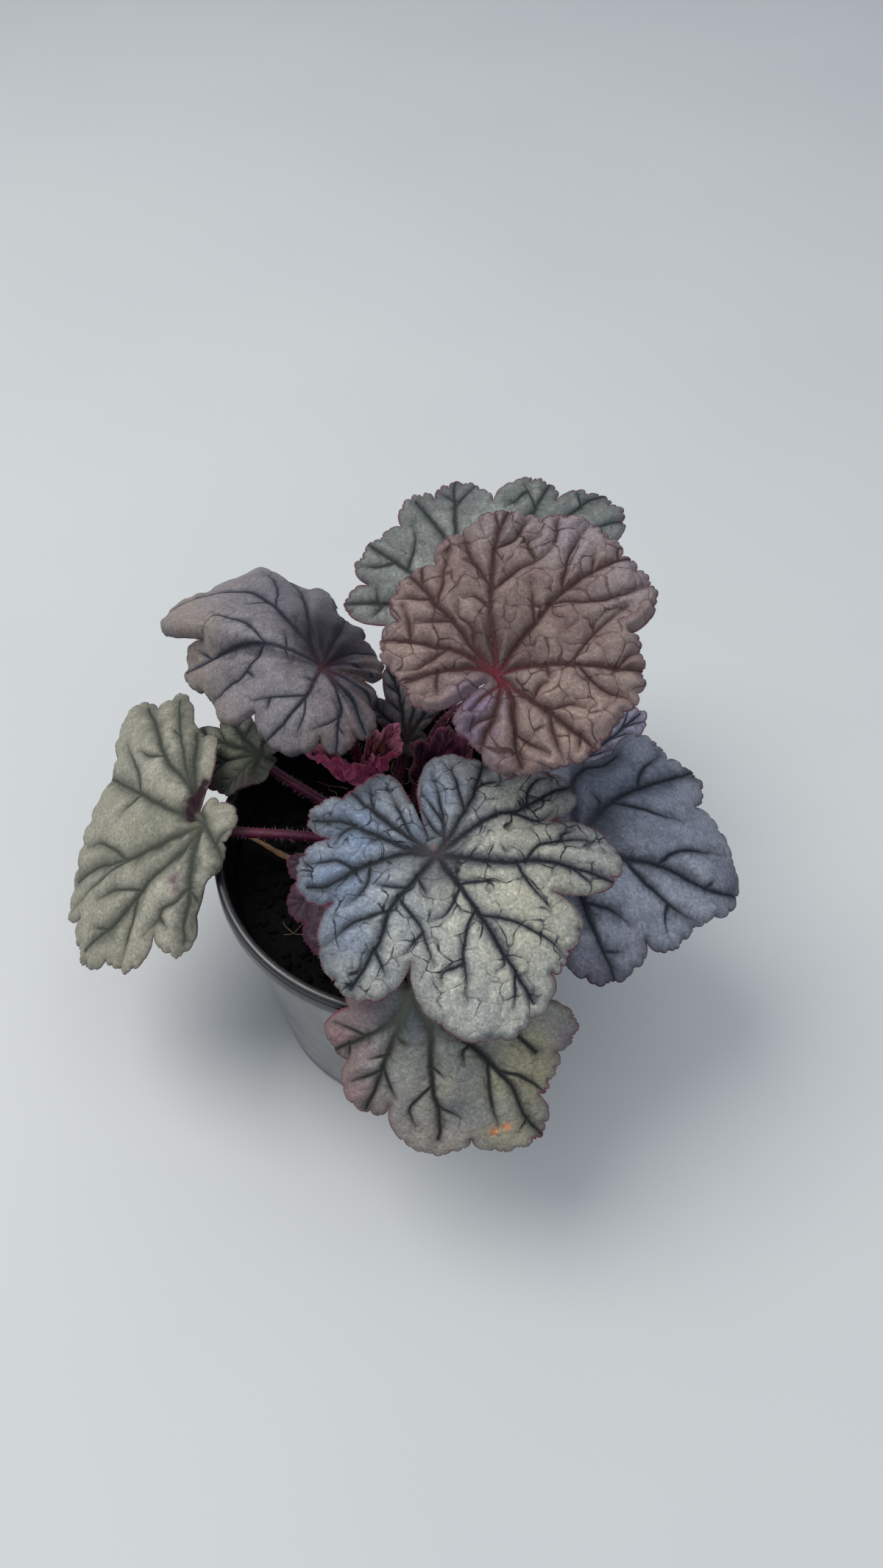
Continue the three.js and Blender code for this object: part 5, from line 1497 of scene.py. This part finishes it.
def upper_material(name, look):
    """The silvered upper face: pale cells, dark veins, soft shadows, tinted patches and a coloured margin."""
    s = Shader(f"{name}_upper", 0.55, Specular_IOR_Level=0.15, Sheen_Weight=0.03, Sheen_Roughness=0.45)
    s.start(s.specks(140, 3, 0.38, 0.62), look["cell"], look["cell_2"])
    s.cover(s.times(s.mark("cell"), 0.22), look["cell_2"])
    for i, (tint, _) in enumerate(look["tints"]):
        s.cover(s.mark(f"tint_{i + 1}"), tint)
    frost = s.specks(1000, 4, 0.48, 0.64, rough=0.75)
    s.tone(s.times(frost, look["frost"]), (1.8, 1.8, 1.75))
    pits = s.specks(1500, 3, 0.34, 0.52, 1, 0, 0.7)
    s.tone(s.times(pits, 0.6), (0.45, 0.45, 0.48))
    grain = {"Vector": s.place, "Scale": 430}
    mesh = s.add("ShaderNodeTexVoronoi", grain, "Distance", feature="DISTANCE_TO_EDGE")
    s.tone(s.times(s.ramp(mesh, 0.02, 0.07, 1, 0), look["mesh"]), (1.3, 1.3, 1.26))
    # Painted shade in the valleys of the net, in the halo's colour.
    s.cover(s.times(s.mark("painted_valley_shade"), look["painted_valley_shade"]), look["halo"])
    s.cover(s.times(s.mark("edge"), 0.75), look["edge"])
    # The halo beside the veins: partly the leaf's own colour, partly painted shade.
    ragged = s.specks(900, 3, 0.25, 0.75, 0.72, 1.2, 0.65)
    halo = s.times(s.ramp(s.mark("halo"), 0.06, 0.8), ragged)
    s.cover(s.times(halo, 0.9), look["halo"])
    beside = s.maths("ADD", s.mark("close"), s.specks(160, 3, 0.3, 0.7, -0.3, 0.25))
    beside = s.ramp(beside, 0.15, 0.6, look["net_far"], 1)
    net = s.line("net", 0.3)
    s.tone(s.times(s.times(net, 0.5), s.maths("SUBTRACT", 1, beside)), (1.4, 1.4, 1.34))
    broken = s.specks(260, 2, 0.36, 0.6, 0.25, look["net_strength"])
    s.cover(s.times(net, s.times(beside, broken)), look["vein"])
    s.cover(s.mark("hub"), look["hub"])
    vein = s.mix(s.mark("hub_vein"), linear(look["vein"]), linear(look.get("hub_vein", look["hub"])))
    branch = s.times(s.line("branch", look["soft"]), s.mark("branch_strength"))
    s.colour = s.mix(s.maths("MAXIMUM", s.line("rib", look["soft"]), branch), s.colour, vein)
    s.cover(s.mark("margin"), look["margin"])
    # Painted shade, laid over everything else.
    if "shades" in look:
        s.cover(s.mark("shade"), look["shade"])
    shine = s.specks(700, 2, 0.3, 0.7, 0.5, 0.68)
    return s.finish([(s.noise(650, 3), 0.35, 0.25), (s.noise(2600, 2), 0.3, 0.09)], shine)


def under_material(name, look):
    """The wine-coloured underside, paler between its raised veins."""
    s = Shader(f"{name}_under", 0.5, Specular_IOR_Level=0.4, Sheen_Weight=0.15)
    base = np.array(look["under"])
    s.start(s.specks(170, 3, 0.35, 0.65), base, base * 0.8)
    s.cover(s.specks(1300, 3, 0.45, 0.75, 0, 0.5), np.minimum(base * 1.25 + 14, 255))
    # Darker beside the veins: partly the leaf's own colour, partly painted shade, as on the upper face.
    s.cover(s.times(s.mark("halo"), 0.35), base * 0.66)
    s.cover(s.maths("MAXIMUM", s.line("rib"), s.line("branch")), np.minimum(base * 1.15 + 26, 255))
    s.cover(s.times(s.line("net"), 0.5), base * 0.72)
    return s.finish([(s.noise(900, 3), 0.4, 0.2), (s.noise(2600, 2), 0.3, 0.08)])


def stalk_material():
    """Crimson-purple skin, browner and darker towards the foot, with fine streaks."""
    s = Shader("stalk_skin", 0.45, Specular_IOR_Level=0.3, Sheen_Weight=0.02)
    s.start(s.specks(220, 3, 0.35, 0.65), (82, 22, 48), (58, 16, 34))
    s.cover(s.ramp(s.mark("share"), 0.02, 0.3, 0.7, 0), (58, 26, 34))
    s.cover(s.specks(1600, 3, 0.5, 0.75, 0, 0.5), (108, 46, 70))
    return s.finish([(s.noise(1100, 3), 0.5, 0.15)])


def plain_material(name, roughness, patches, colours, flecks=None, bumps=(), **numbers):
    """Patches of two colours, flecks of a third over them, and bumps as (noise, strength, distance)."""
    s = Shader(name, roughness, **numbers)
    s.start(s.specks(*patches), *colours[:2])
    if flecks:
        s.cover(s.specks(*flecks), colours[2])
    return s.finish([(s.noise(*noise), strength, distance) for noise, strength, distance in bumps])


def plastic_material(name, plain, lighter_patches):
    """Injection-moulded black plastic: satin, mottled, dust-flecked, with faint flow lines and rubbed patches.
    """
    s = Shader(name, 0.34, Specular_IOR_Level=0.55, Coat_Weight=0.15, Coat_Roughness=0.2)
    s.start(s.specks(60, 5, 0.42, 0.7, rough=0.6), plain, lighter_patches)
    s.cover(s.specks(1200, 3, 0.6, 0.75, 0, 0.3), (120, 120, 118))
    rubbed = s.specks(90, 4, 0.35, 0.7, 0.26, 0.46)
    return s.finish([(s.noise(300, 3), 0.12, 0.2), (s.noise(3000, 2), 0.15, 0.05)], rubbed)


# ---------------------------------------------------------------- studio


def studio_camera():
    """The photograph's camera: over the plant, looking steeply down, turned a little clockwise."""
    pitch, roll = np.radians(CAMERA["pitch"]), np.radians(CAMERA["roll"])
    forward = np.array([0, np.cos(pitch), -np.sin(pitch)])
    up = np.array([0, np.sin(pitch), np.cos(pitch)])
    right = np.array([1.0, 0, 0])
    axis_x = right * np.cos(roll) + up * np.sin(roll)
    axis_y = -right * np.sin(roll) + up * np.cos(roll)
    data = bpy.data.cameras.new("camera")
    data.lens = CAMERA["lens"]
    data.clip_start = 0.01
    camera = bpy.data.objects.new("camera", data)
    matrix = Matrix.Identity(4)
    for column, vector in enumerate((axis_x, axis_y, -forward, CAMERA["place"])):
        for row in range(3):
            matrix[row][column] = vector[row]
    camera.matrix_world = matrix
    bpy.context.scene.collection.objects.link(camera)
    bpy.context.scene.camera = camera


def soft_light(name, place, aim_height, size, power, colour):
    data = bpy.data.lights.new(name, "AREA")
    data.shape = "DISK"
    data.size = size
    data.energy = power
    data.color = colour
    light = bpy.data.objects.new(name, data)
    light.location = place
    light.rotation_euler = (Vector((0, 0, aim_height)) - Vector(place)).to_track_quat("-Z", "Y").to_euler()
    bpy.context.scene.collection.objects.link(light)


def studio():
    """A pale floor, a soft sky, and three wide soft lamps."""
    floor, faces = turned([(radius, -0.05) for radius in (AXIS_GAP, 400, 2600)], 96)
    pale = plain_material(
        "floor", 0.6, (3, 3, 0.3, 0.7), ((196, 197, 196), (189, 191, 191)), Specular_IOR_Level=0.3,
    )
    ground = make_piece("floor", floor, faces, [pale])
    world = bpy.data.worlds.new("sky")
    world.use_nodes = True
    sky = world.node_tree.nodes["Background"]
    sky.inputs["Color"].default_value = SKY["colour"]
    sky.inputs["Strength"].default_value = SKY["strength"]
    bpy.context.scene.world = world
    for lamp in LAMPS:
        soft_light(*lamp)
    view = bpy.context.scene.view_settings
    view.view_transform = "Standard"
    view.exposure = 0.0


# ---------------------------------------------------------------- the plant in its pot

HAIR = plain_material(
    "hair", 0.45, (400, 2, 0, 1), ((150, 112, 124), (186, 168, 170)), Specular_IOR_Level=0.5,
)
STALK = stalk_material()
DRY = plain_material(
    "dry_stem", 0.75, (320, 4, 0.35, 0.65), ((112, 84, 58), (74, 52, 38), (150, 122, 90)),
    (1800, 3, 0.5, 0.7, 0, 0.6), [((900, 4), 0.7, 0.3)],
)
ROOT = plain_material(
    "root_fibre", 0.7, (300, 3, 0.35, 0.65), ((138, 112, 82), (84, 62, 46)), bumps=[((1500, 2), 0.4, 0.1)],
)
CROWN_SKIN = plain_material(
    "crown_skin", 0.7, (260, 4, 0.35, 0.65), ((70, 36, 38), (38, 22, 24), (126, 98, 76)),
    (600, 4, 0.55, 0.72, 0, 0.7, 0.65), [((700, 4), 0.8, 0.5)],
)
EARTH = plain_material(
    "earth", 0.95, (500, 4, 0.4, 0.62), ((3, 3, 4), (7, 6, 7), (28, 20, 17)),
    (1400, 3, 0.62, 0.72, 0, 0.5), [((900, 5), 1.0, 0.6), ((2400, 3), 0.7, 0.2)], Specular_IOR_Level=0.12,
)
# The pot is black plastic throughout. The wall's pale greys are partly dust, partly painted reflection of the
# bright floor and sky; the rim keeps the plastic's near-black, and the inside a darker copy, painted shade.
PLASTIC = plastic_material("black_plastic", (100, 103, 106), (117, 118, 118))
RIM_PLASTIC = plastic_material("rim_plastic", (14, 15, 18), (26, 27, 31))
SHADED_PLASTIC = plastic_material("inner_plastic", (6, 6, 8), (10, 10, 13))

studio_camera()
studio()
pieces = [
    pot_piece(), soil_piece(SEEDS["soil"]), crown_piece(SEEDS["crown"]), spent_piece(SEEDS["spent_stalk"]),
]
for number, entry in enumerate(LEAVES):
    leaf = PLAIN_LEAF | entry
    pieces.append(blade_piece(leaf, SEEDS["blades"] + SEEDS["step"] * number))
    pieces.append(stalk_piece(leaf, SEEDS["stalks"] + SEEDS["step"] * number))
for piece in pieces:
    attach(piece, "root")
